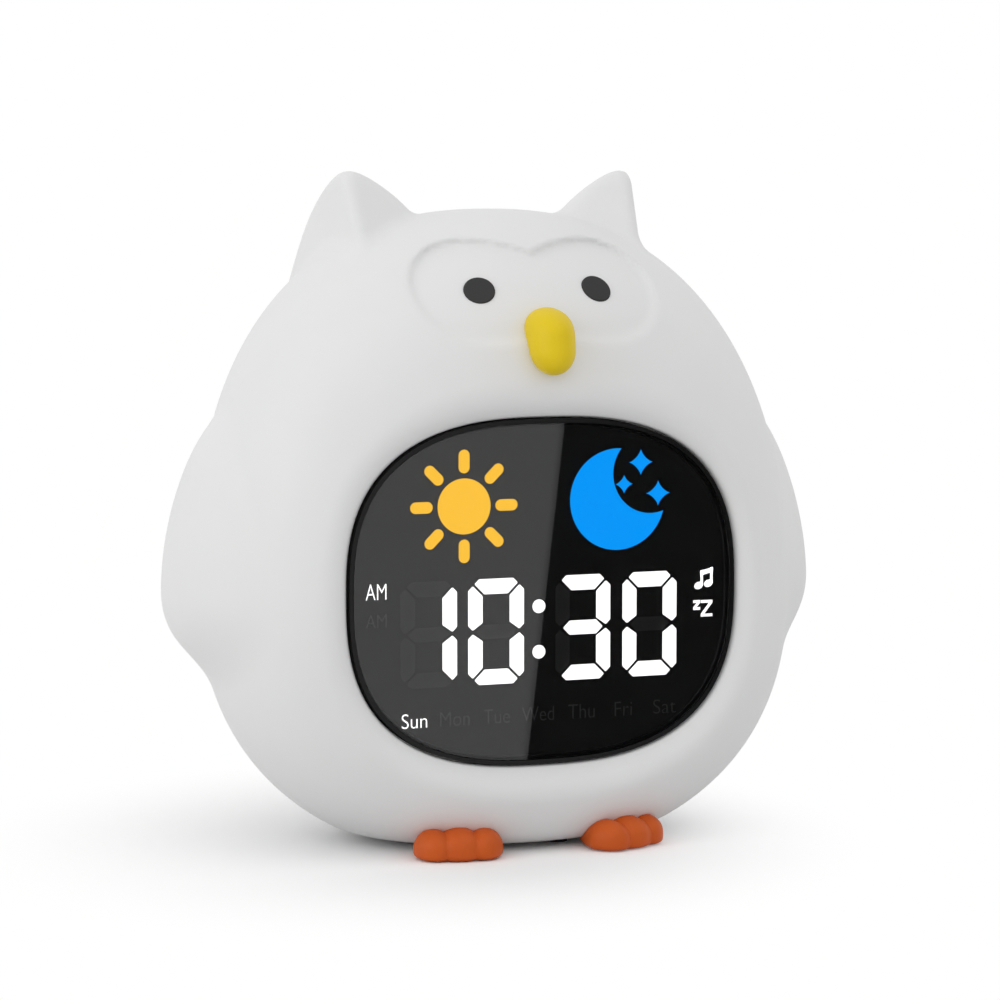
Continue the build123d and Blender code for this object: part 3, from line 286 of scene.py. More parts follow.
def skinField(x, y, z):
    # the face with the openings for the display, the rear panel and the base plate
    field = faceField(x, y, z)
    opening = np.maximum(windowField(x, z) - window["gap"], y + window["openTo"])
    field = smoothMax(field, -opening, window["lipRound"])
    rear = np.sqrt(x ** 2 + (z - rearHole["level"]) ** 2) - rearHole["radius"]
    rear = np.maximum(rear, rearHole["openFrom"] - y)
    field = smoothMax(field, -rear, rearHole["round"])
    ys = y - leanAt(0)
    ring = np.sqrt((x / baseHole["halfWidth"]) ** 2 + (ys / baseHole["halfDepth"]) ** 2) - 1
    base = np.maximum(ring * baseHole["halfDepth"], z - baseHole["openTo"])
    return smoothMax(field, -base, baseHole["round"])


def skinShown(x, y, z):
    # the walls of the openings end behind the pieces that fill them
    behindWindow = (windowField(x, z) < window["shownRim"]) & (y > window["shownTo"]) & (y < 0)
    nearPanel = np.hypot(x, z - rearHole["level"]) < rearHole["radius"] + rearHole["shownRim"]
    behindPanel = nearPanel & (y > 0) & (y < rearHole["shownFrom"])
    ys = y - leanAt(0)
    nearBase = np.hypot(x / baseHole["halfWidth"], ys / baseHole["halfDepth"]) < baseHole["shownShare"]
    aboveBase = nearBase & (z > baseHole["shownTo"]) & (z < baseHole["shownFrom"])
    return ~(behindWindow | behindPanel | aboveBase)


skin = netMesh("owlSkin", skinField, skinNet["low"], skinNet["high"], skinNet["step"], skinShown)
standFor(skin, "silicone_skin")
print("skin:", len(skin.data.polygons), "faces")

# the crown of an eye is given as shares of the way out and heights
eye = {"middle": 0.6, "place": (12.25, 110.6), "halfWidth": 3.13, "halfHeight": 3.1, "tilt": 38.0,
       "turn": 10.0, "proud": 0.35, "crown": ((0.25, 0.02), (0.5, 0.02), (0.75, 0.01), (0.9, 0.0)),
       "edgeRound": 0.3, "edgeSteps": 6, "wall": 0.9, "spokes": 64, "searchDepth": 30.0, "searchStep": 0.02}


def makeEye(name, node, side):
    # a flat disc with a small rounded edge, let into the floor of the mask
    x, z = side * eye["place"][0] + eye["middle"], eye["place"][1]
    normal = Euler((-radians(eye["tilt"]), 0, side * radians(eye["turn"]))).to_matrix() @ Vector((0, -1, 0))
    along = Vector((0, 0, 1)).cross(normal).normalized()
    up = normal.cross(along)
    # look inwards along y for the floor of the mask
    line = leanAt(z) - egg["halfDepth"] + np.arange(0, eye["searchDepth"], eye["searchStep"])
    across = np.full_like(line, x)
    hit = line[np.argmax(faceField(across, line, np.full_like(line, z)) < 0)]
    centre = Vector((x, hit, z)) + normal * eye["proud"]
    r = eye["edgeRound"]
    steps = [(share, height, 0.0) for share, height in eye["crown"]]
    steps += [(1.0, -r * (1 - cos(turn)), -r * (1 - sin(turn)))
              for turn in np.linspace(0, pi / 2, eye["edgeSteps"])]
    steps += [(1.0, -eye["wall"], 0.0)]
    spokes = eye["spokes"]
    verts, faces = [tuple(centre)], []
    for share, height, inset in steps:
        for spoke in range(spokes):
            turn = 2 * pi * spoke / spokes
            reachAcross = (eye["halfWidth"] * share + inset) * cos(turn)
            reachUp = (eye["halfHeight"] * share + inset) * sin(turn)
            verts.append(tuple(centre + reachAcross * along + reachUp * up + height * normal))
    for spoke in range(spokes):
        following = (spoke + 1) % spokes
        faces.append((0, 1 + spoke, 1 + following))
        for ring in range(len(steps) - 1):
            a, b = 1 + ring * spokes + spoke, 1 + ring * spokes + following
            faces.append((a, a + spokes, b + spokes, b))
    obj = makeObject(name, toFrame(verts).tolist(), faces)
    welded = bmesh.new()
    welded.from_mesh(obj.data)
    bmesh.ops.recalc_face_normals(welded, faces=welded.faces)
    welded.to_mesh(obj.data)
    welded.free()
    standFor(obj, node)
    return obj


beak = {"bulb": {"place": (-31.0, 103.2), "radii": (4.52, 6.7, 4.2), "tilt": -10.4},
        "hook": {"place": (-32.8, 99.6), "radii": (4.39, 5.64, 4.71), "tilt": -36.2}, "blend": 1.7,
        "letIn": 0.4, "seamRound": 0.4, "low": (-7, -40, 90), "high": (7, -22, 112), "step": 0.3}


def beakField(x, y, z):
    # a plump bulb on the face and a hook that bends forward and down from it
    field = None
    for part in (beak["bulb"], beak["hook"]):
        c, s = cos(radians(part["tilt"])), sin(radians(part["tilt"]))
        py, pz = y - part["place"][0], z - part["place"][1]
        one = ellipsoid(x, py * c - pz * s, py * s + pz * c, (0, 0, 0), part["radii"])
        field = one if field is None else smoothMin(field, one, beak["blend"])
    return smoothMax(field, -(faceField(x, y, z) + beak["letIn"]), beak["seamRound"])


foot = {"place": 17.4, "front": -27.0, "turn": {-1: 9.8, 1: 22.6}, "toes": 3, "pitch": 5.9,
        "halfWidth": 8.9, "halfHeight": 4.26, "level": 2.0, "reachFront": 5.9, "reachBack": 9.0, "taper": 0.2,
        "sideCurve": 3.57, "frontCurve": 2.07, "backCurve": 1.22, "crossCurve": 2.57, "swell": 0.4,
        "dip": 0.23, "dipCurve": 2.4, "sole": 0.05, "soleRound": 1.0, "letIn": 0.3, "seamRound": 0.4,
        "low": (-15, -38, -0.7), "high": (15, -10, 8), "step": 0.3}


def footField(side):
    # one blunt pad that points outwards, creased into three toes
    turn = side * radians(foot["turn"][side])
    c, s = cos(turn), sin(turn)

    def field(x, y, z):
        px, py = x - side * foot["place"], y - foot["front"]
        u, v = px * c + py * s, -px * s + py * c
        w = z - foot["level"]
        fromCrease = np.abs((u / foot["pitch"] + 0.5) % 1.0 - 0.5) * 2
        crease = 1 - foot["dip"] * fromCrease ** foot["dipCurve"]
        lobed = np.where(np.abs(u) < foot["toes"] / 2 * foot["pitch"], crease, 1)
        forward = np.abs(np.minimum(v, 0) / (foot["reachFront"] * (0.5 + 0.5 * lobed)))
        back = np.maximum(v, 0) / foot["reachBack"]
        slim = 1 - foot["taper"] * np.clip(back, 0, 1)
        total = (np.abs(u / (foot["halfWidth"] * slim)) ** foot["sideCurve"] + forward ** foot["frontCurve"]
                 + back ** foot["backCurve"] + np.abs(w / (foot["halfHeight"] * lobed)) ** foot["crossCurve"])
        pad = (np.maximum(total, tiny) ** foot["swell"] - 1) * foot["halfHeight"]
        pad = smoothMax(pad, foot["sole"] - z, foot["soleRound"])
        return smoothMax(pad, -(solidField(x, y, z) + foot["letIn"]), foot["seamRound"])
    return field


leftEye = makeEye("leftEye", "left_eye", -1)
rightEye = makeEye("rightEye", "right_eye", 1)
beakPiece = netMesh("beakPiece", beakField, beak["low"], beak["high"], beak["step"])
standFor(beakPiece, "beak")
feet = []
for side, name, node in ((-1, "leftFoot", "left_foot"), (1, "rightFoot", "right_foot")):
    low, high = [(side * foot["place"] + corner[0], *corner[1:]) for corner in (foot["low"], foot["high"])]
    obj = netMesh(name, footField(side), low, high, foot["step"])
    standFor(obj, node)
    feet.append(obj)
print("eyes, beak and feet done")

# words and signs of the display, as thin film cut-outs in front of their windows,
# placed in millimetres from the middle of the display
signs = {"filmGap": 0.04, "filmThickness": 0.03, "draftThickness": 0.01, "strokeOffset": -0.011,
         "curveSteps": 6}
# each word: its text, middle, width and whether it is lit
dayWords = {"low": -25.7, "high": -22.85,
            "words": (("Sun", -26.6, 5.2, True), ("Mon", -18.28, 6.1, False), ("Tue", -9.59, 5.4, False),
                      ("Wed", -0.95, 6.7, False), ("Thu", 8.21, 5.6, False), ("Fri", 17.14, 3.7, False),
                      ("Sat", 26.0, 4.9, False))}
# each word: its text, middle, width, low, high and whether it is lit
hourWords = (("AM", -34.33, 4.2, -0.25, 2.8, True), ("AM", -34.3, 4.2, -5.69, -3.07, False))
note = {"place": (34.29, -1.1), "width": 4.0, "height": 4.26, "stem": 0.55, "beam": 0.95,
        "head": (0.95, 0.72), "headTilt": 0.35, "headRaise": 0.35, "headPoints": 24, "stemFoot": (0.8, 1.1),
        "beamDrop": (0.6, 0.5, 0.1)}
snooze = {"place": (34.16, -6.67), "large": (2.5, 3.3), "largeShift": (-0.4, 0.0), "small": (1.5, 1.95),
          "smallShift": (-2.05, 1.4), "stroke": 0.55, "slant": 1.35}
# each star: its middle, half its width and half its height
stars = {"curve": 0.72, "points": 32,
         "places": ((20.7, 24.67, 2.5, 2.55), (17.15, 20.42, 1.85, 1.85), (24.41, 18.44, 2.54, 2.45))}
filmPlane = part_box("small_windows")[0][1] / mm - axisShift - signs["filmGap"]
litSigns, darkSigns = [], []


def placeFilm(obj, lit):
    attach(obj, "clock")
    (litSigns if lit else darkSigns).append(obj)


def writeWord(name, text, centre, width, low, high, lit):
    # a word in the plain built-in typeface, fitted to its width and height
    curve = bpy.data.curves.new(name, "FONT")
    curve.body = text
    curve.extrude = signs["draftThickness"]
    curve.offset = signs["strokeOffset"]        # thinner strokes
    curve.resolution_u = signs["curveSteps"]
    draft = bpy.data.objects.new(name + "Draft", curve)
    bpy.context.scene.collection.objects.link(draft)
    bpy.context.view_layer.update()
    mesh = bpy.data.meshes.new_from_object(draft)
    bpy.data.objects.remove(draft)
    points = np.array([v.co for v in mesh.vertices])
    lowest, highest = points.min(0), points.max(0)
    share = (points - lowest) / (highest - lowest)
    shown = np.stack([centre + (share[:, 0] - 0.5) * width,
                      filmPlane + (share[:, 2] - 1) * signs["filmThickness"],
                      window["level"] + low + share[:, 1] * (high - low)], 1)
    mesh.vertices.foreach_set("co", toFrame(shown).ravel())
    mesh.name = name
    obj = bpy.data.objects.new(name, mesh)
    bpy.context.scene.collection.objects.link(obj)
    placeFilm(obj, lit)


def filmMesh(name, outlines, place):
    # thin flat shapes with closed edges; place takes a point of an outline and a share of the thickness
    verts, faces = [], []
    for outline in outlines:
        first, size = len(verts), len(outline)
        for share in (1, 0):
            verts += [place(across, up, share) for across, up in outline]
        faces.append(tuple(range(first, first + size)))
        faces.append(tuple(reversed(range(first + size, first + 2 * size))))
        for i in range(size):
            j = (i + 1) % size
            faces.append((first + i, first + size + i, first + size + j, first + j))
    return makeObject(name, verts, faces, False)


def filmShapes(name, outlines, lit):
    # film cut to outlines of the display
    def place(x, z, share):
        return tuple(toFrame([(x, filmPlane - share * signs["filmThickness"], window["level"] + z)])[0])

    obj = filmMesh(name, outlines, place)
    placeFilm(obj, lit)
    return obj


def noteOutlines():
    # two quavers joined by a beam
    x, z = note["place"]
    half, stem = note["width"] / 2, note["stem"]
    headWidth, headHeight = note["head"]
    c, s = cos(note["headTilt"]), sin(note["headTilt"])
    heads = []
    for middle, level in ((x - half + headWidth, z + headHeight),
                          (x + half - headWidth, z + headHeight + note["headRaise"])):
        ring = []
        for turn in np.linspace(0, 2 * pi, note["headPoints"], endpoint=False):
            a, b = headWidth * cos(turn), headHeight * sin(turn)
            ring.append((middle + a * c - b * s, level + a * s + b * c))
        heads.append(ring)
    left, right = x - half + 2 * headWidth - stem, x + half - stem
    top = z + note["height"]
    lowLeft, lowRight = z + note["stemFoot"][0], z + note["stemFoot"][1]
    dropFar, dropMiddle, dropNear = note["beamDrop"]        # the beam rises to the right
    stems = [[(left, lowLeft), (left + stem, lowLeft), (left + stem, top - dropMiddle),
              (left, top - dropFar)],
             [(right, lowRight), (right + stem, lowRight), (right + stem, top), (right, top - dropNear)]]
    beam = [(left, top - dropFar - note["beam"]), (right + stem, top - note["beam"]), (right + stem, top),
            (left, top - dropFar)]
    return heads + stems + [beam]


def sleepOutlines():
    # a large and a small letter z, the usual sign for a snooze
    x, z = snooze["place"]
    stroke = snooze["stroke"]
    run = snooze["slant"] * stroke
    outlines = []
    for letter in ("small", "large"):
        width, height = snooze[letter]
        left, low = x + snooze[letter + "Shift"][0], z + snooze[letter + "Shift"][1]
        right, high = left + width, low + height
        outlines.append([(left, low), (right, low), (right, low + stroke), (left + run, low + stroke),
                         (right, high - stroke), (right, high), (left, high), (left, high - stroke),
                         (right - run, high - stroke), (left, low + stroke)])
    return outlines


def starOutlines():
    # stars of four points with hollow sides
    outlines = []
    for x, z, across, up in stars["places"]:
        ring = []
        for turn in np.linspace(0, 2 * pi, stars["points"], endpoint=False):
            c, s = cos(turn), sin(turn)
            ring.append((x + across * np.sign(c) * abs(c) ** (2 / stars["curve"]),
                         z + up * np.sign(s) * abs(s) ** (2 / stars["curve"])))
        outlines.append(ring)
    return outlines


for text, centre, width, lit in dayWords["words"]:
    writeWord("word" + text, text, centre, width, dayWords["low"], dayWords["high"], lit)
for text, centre, width, low, high, lit in hourWords:
    writeWord("wordMorning" if lit else "wordAfternoon", text, centre, width, low, high, lit)
filmShapes("musicSign", noteOutlines(), True)
filmShapes("snoozeSign", sleepOutlines(), True)
starSigns = filmShapes("starSigns", starOutlines(), True)
print("display signs done")

# signs printed on the keys of the rear panel, in millimetres from the middle of each key
keyPrint = {"thickness": 0.03, "gap": 0.005, "stroke": 0.34, "fineStroke": 0.26, "roundSteps": 20}
cogSign = {"ring": 0.62, "toothFrom": 0.75, "toothTo": 1.15, "teeth": 8}
arrowSign = {"halfWidth": 1.15, "foot": -0.7, "tip": 1.0}
bellSign = {"side": ((0.95, -0.62), (0.72, -0.3), (0.66, 0.25), (0.45, 0.68), (0.16, 0.88)), "clapper": 0.22,
            "clapperLevel": -0.86, "clapperSteps": 12}
lampSign = {"disc": 0.55, "rayFrom": 0.8, "rayTo": 1.2, "rays": 8}
soundSign = {"horn": ((-1.3, -0.38), (-0.85, -0.38), (-0.2, -0.95), (-0.2, 0.95), (-0.85, 0.38),
                      (-1.3, 0.38)), "waves": (0.5, 1.05), "spread": 0.9, "waveSteps": 8}


def ringPart(reach, start, end, stroke, steps):
    # a ring or an arc, as short pieces that meet
    turns = np.linspace(start, end, steps + 1)
    rim = [[(r * cos(turn), r * sin(turn)) for turn in turns]
           for r in (reach - stroke / 2, reach + stroke / 2)]
    return [[rim[0][i], rim[1][i], rim[1][i + 1], rim[0][i + 1]] for i in range(steps)]


def discPart(reach, level, steps):
    # one round disc
    turns = np.linspace(0, 2 * pi, steps, endpoint=False)
    return [[(reach * cos(turn), level + reach * sin(turn)) for turn in turns]]


def spokeParts(inner, outer, count, stroke):
    # short bars that stand round a middle
    bars = []
    for turn in np.linspace(0, 2 * pi, count, endpoint=False):
        c, s = cos(turn), sin(turn)
        bars.append([(c * r - s * w, s * r + c * w) for r, w in ((inner, -stroke / 2), (outer, -stroke / 2),
                                                                 (outer, stroke / 2), (inner, stroke / 2))])
    return bars


def cogParts():
    ring = ringPart(cogSign["ring"], 0, 2 * pi, keyPrint["stroke"], keyPrint["roundSteps"])
    return ring + spokeParts(cogSign["toothFrom"], cogSign["toothTo"], cogSign["teeth"], keyPrint["stroke"])


def arrowParts(way):
    # way is 1 for up and -1 for down
    left = (-arrowSign["halfWidth"], way * arrowSign["foot"])
    right = (arrowSign["halfWidth"], way * arrowSign["foot"])
    tip = (0.0, way * arrowSign["tip"])
    return [[left, right, tip] if way > 0 else [left, tip, right]]


def bellParts():
    side = list(bellSign["side"])
    clapper = discPart(bellSign["clapper"], bellSign["clapperLevel"], bellSign["clapperSteps"])
    return [side + [(-x, z) for x, z in reversed(side)]] + clapper


def lampParts():
    rays = spokeParts(lampSign["rayFrom"], lampSign["rayTo"], lampSign["rays"], keyPrint["fineStroke"])
    return discPart(lampSign["disc"], 0.0, keyPrint["roundSteps"]) + rays


def soundParts():
    parts = [list(soundSign["horn"])]
    for reach in soundSign["waves"]:
        parts += ringPart(reach, -soundSign["spread"], soundSign["spread"], keyPrint["fineStroke"],
                          soundSign["waveSteps"])
    return parts


def printKey(key, outlines):
    # the sign rides on its key
    low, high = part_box(key + "_button")
    middle = ((low[0] + high[0]) / 2, (low[2] + high[2]) / 2)

    def place(across, up, share):
        depth = keyPrint["gap"] + share * keyPrint["thickness"]
        return (middle[0] - across * mm, high[1] + depth * mm, middle[1] + up * mm)

    obj = filmMesh(key + "Print", outlines, place)
    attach(obj, key + "_key")
    return obj


keySigns = {"set": cogParts(), "up": arrowParts(1), "alarm": bellParts(), "light": lampParts(),
            "down": arrowParts(-1), "sound": soundParts()}
keyPrints = [printKey(key, outlines) for key, outlines in keySigns.items()]
print("key signs done")


def linear(code):
    # an sRGB hex colour as linear red, green, blue and alpha
    parts = [int(code[i:i + 2], 16) / 255 for i in (1, 3, 5)]
    return [c / 12.92 if c <= 0.04045 else ((c + 0.055) / 1.055) ** 2.4 for c in parts] + [1.0]


def addNode(tree, kind, settings=None, links=None, feeds=None):
    # one node, with its properties and input values, the links it takes and the sockets it feeds
    node = tree.nodes.new(kind)
    for key, value in (settings or {}).items():
        if isinstance(key, int) or key in node.inputs:
            node.inputs[key].default_value = value
        else:
            setattr(node, key, value)
    for key, (source, output) in (links or {}).items():
        tree.links.new(source.outputs[output], node.inputs[key])
    for target, socket, output in feeds or ():
        tree.links.new(node.outputs[output], target.inputs[socket])
    return node


def startMaterial(name, settings):
    material = bpy.data.materials.new(name)
    material.use_nodes = True
    shader = material.node_tree.nodes["Principled BSDF"]
    for key, value in settings.items():
        shader.inputs[key].default_value = value
    return material, material.node_tree, shader


def setOn(obj, material):
    obj.data.materials.clear()
    obj.data.materials.append(material)


def mouldedFinish(name, look):
    # a moulded or pressed surface: two close tones in soft clouds, a grain left by the
    # tool as bump, and a roughness that wanders a little with the clouds
    material, tree, shader = startMaterial(name, {"IOR": look.get("ior", 1.5),
                                                  "Sheen Weight": look.get("sheen", 0.0),
                                                  "Specular IOR Level": look.get("specular", 0.5)})
    place = addNode(tree, "ShaderNodeTexCoord")
    cloud = addNode(tree, "ShaderNodeTexNoise", {"Scale": 1 / (look["cloud"] * mm), "Detail": 3.0},
                    {"Vector": (place, "Object")})
    addNode(tree, "ShaderNodeMix", {"data_type": "RGBA", 6: linear(look["dark"]), 7: linear(look["light"])},
            {0: (cloud, "Fac")}, [(shader, "Base Color", 2)])
    addNode(tree, "ShaderNodeMapRange", {"To Min": look["rough"] - 0.05, "To Max": look["rough"] + 0.05},
            {"Value": (cloud, "Fac")}, [(shader, "Roughness", "Result")])
    grain = addNode(tree, "ShaderNodeTexNoise", {"Scale": 1 / (look["grain"] * mm), "Detail": 2.0},
                    {"Vector": (place, "Object")})
    addNode(tree, "ShaderNodeBump", {"Strength": look["relief"], "Distance": look.get("depth", 0.05) * mm},
            {"Height": (grain, "Fac")}, [(shader, "Normal", "Normal")])
    return material


def metalFinish(name, look):
    # bare metal: fine scratches drawn out along one way, and tarnish in soft patches
    material, tree, shader = startMaterial(name, {"Metallic": 1.0})
    place = addNode(tree, "ShaderNodeTexCoord")
    stretch = addNode(tree, "ShaderNodeMapping", {"Scale": look["stretch"]}, {"Vector": (place, "Object")})
    scratch = addNode(tree, "ShaderNodeTexNoise", {"Scale": 1 / (look["scratch"] * mm), "Detail": 4.0},
                      {"Vector": (stretch, "Vector")})
    patch = addNode(tree, "ShaderNodeTexNoise", {"Scale": 1 / (look["patch"] * mm), "Detail": 3.0},
                    {"Vector": (place, "Object")})
    addNode(tree, "ShaderNodeMix", {"data_type": "RGBA", 6: linear(look["dark"]), 7: linear(look["light"])},
            {0: (patch, "Fac")}, [(shader, "Base Color", 2)])
    addNode(tree, "ShaderNodeMapRange", {"To Min": look["rough"] - 0.08, "To Max": look["rough"] + 0.08},
            {"Value": (scratch, "Fac")}, [(shader, "Roughness", "Result")])
    addNode(tree, "ShaderNodeBump", {"Strength": look["relief"], "Distance": 0.02 * mm},
            {"Height": (scratch, "Fac")}, [(shader, "Normal", "Normal")])
    return material


def boardFinish(name, look):
    # solder mask over etched copper: the tracks stand up a little and show paler
    material, tree, shader = startMaterial(name, {"IOR": 1.52, "Roughness": look["rough"]})
    place = addNode(tree, "ShaderNodeTexCoord")
    upright = addNode(tree, "ShaderNodeMapping", {"Rotation": look["turn"]}, {"Vector": (place, "Object")})
    tracks = addNode(tree, "ShaderNodeTexBrick",
                     {"Scale": 1.0, "Color1": (1, 1, 1, 1), "Color2": (1, 1, 1, 1), "Mortar": (0, 0, 0, 1),
                      "Brick Width": look["run"] * mm, "Row Height": look["pitch"] * mm,
                      "Mortar Size": 0.16 * look["pitch"] * mm},
                     {"Vector": (upright, "Vector")})
    addNode(tree, "ShaderNodeMix", {"data_type": "RGBA", 6: linear(look["mask"]), 7: linear(look["track"])},
            {0: (tracks, "Color")}, [(shader, "Base Color", 2)])
    addNode(tree, "ShaderNodeBump", {"Strength": 0.5, "Distance": 0.035 * mm},
            {"Height": (tracks, "Color")}, [(shader, "Normal", "Normal")])
    return material


def litFinish(name, look):
    # a milky diffuser with a lamp behind it: even light over a faintly grained face
    material, tree, shader = startMaterial(name, {"Base Color": linear(look["body"]), "Roughness": 0.45,
                                                  "IOR": 1.49, "Emission Color": linear(look["glow"]),
                                                  "Emission Strength": look["strength"],
                                                  "Specular IOR Level": 0.05})
    place = addNode(tree, "ShaderNodeTexCoord")
    grain = addNode(tree, "ShaderNodeTexNoise", {"Scale": 1 / (0.2 * mm), "Detail": 2.0},
                    {"Vector": (place, "Object")})
    addNode(tree, "ShaderNodeBump", {"Strength": 0.1, "Distance": 0.02 * mm},
            {"Height": (grain, "Fac")}, [(shader, "Normal", "Normal")])
    return material


def polishedFinish(name, look):
    # polished clear or black acrylic: sharp reflections, with the faint ripple of moulding
    material, tree, shader = startMaterial(name, {"Base Color": linear(look["colour"]), "IOR": 1.49,
                                                  "Transmission Weight": look["clear"]})
    place = addNode(tree, "ShaderNodeTexCoord")
    smear = addNode(tree, "ShaderNodeTexNoise", {"Scale": 1 / (14 * mm), "Detail": 2.0},
                    {"Vector": (place, "Object")})
    addNode(tree, "ShaderNodeMapRange", {"To Min": look["rough"] * 0.6, "To Max": look["rough"] * 1.4},
            {"Value": (smear, "Fac")}, [(shader, "Roughness", "Result")])
    return material


# silicone is moulded in a bead-blasted steel tool, so it is matt with a fine even
# grain; the grain is drawn at about 0.4 mm, coarser than real, so that it shows
skinLook = {"dark": "#E2E2E2", "light": "#E7E7E7", "cloud": 18.0, "rough": 0.6, "ior": 1.41,
            "grain": 0.4, "relief": 0.22}
eyeLook = {"dark": "#303030", "light": "#353535", "cloud": 3.0, "rough": 0.75, "ior": 1.41,
           "grain": 0.3, "relief": 0.2}
beakLook = {"dark": "#DEC000", "light": "#E6C802", "cloud": 6.0, "rough": 0.5, "ior": 1.41,
            "grain": 0.35, "relief": 0.2}
footLook = {"dark": "#C35004", "light": "#CC5808", "cloud": 5.0, "rough": 0.55, "ior": 1.41,
            "grain": 0.35, "relief": 0.3}
setOn(skin, mouldedFinish("whiteMouldedSilicone", skinLook))
blackSilicone = mouldedFinish("blackMouldedSilicone", eyeLook)
for obj in (leftEye, rightEye):
    setOn(obj, blackSilicone)
setOn(beakPiece, mouldedFinish("yellowMouldedSilicone", beakLook))
orangeSilicone = mouldedFinish("orangeMouldedSilicone", footLook)
for obj in feet:
    setOn(obj, orangeSilicone)

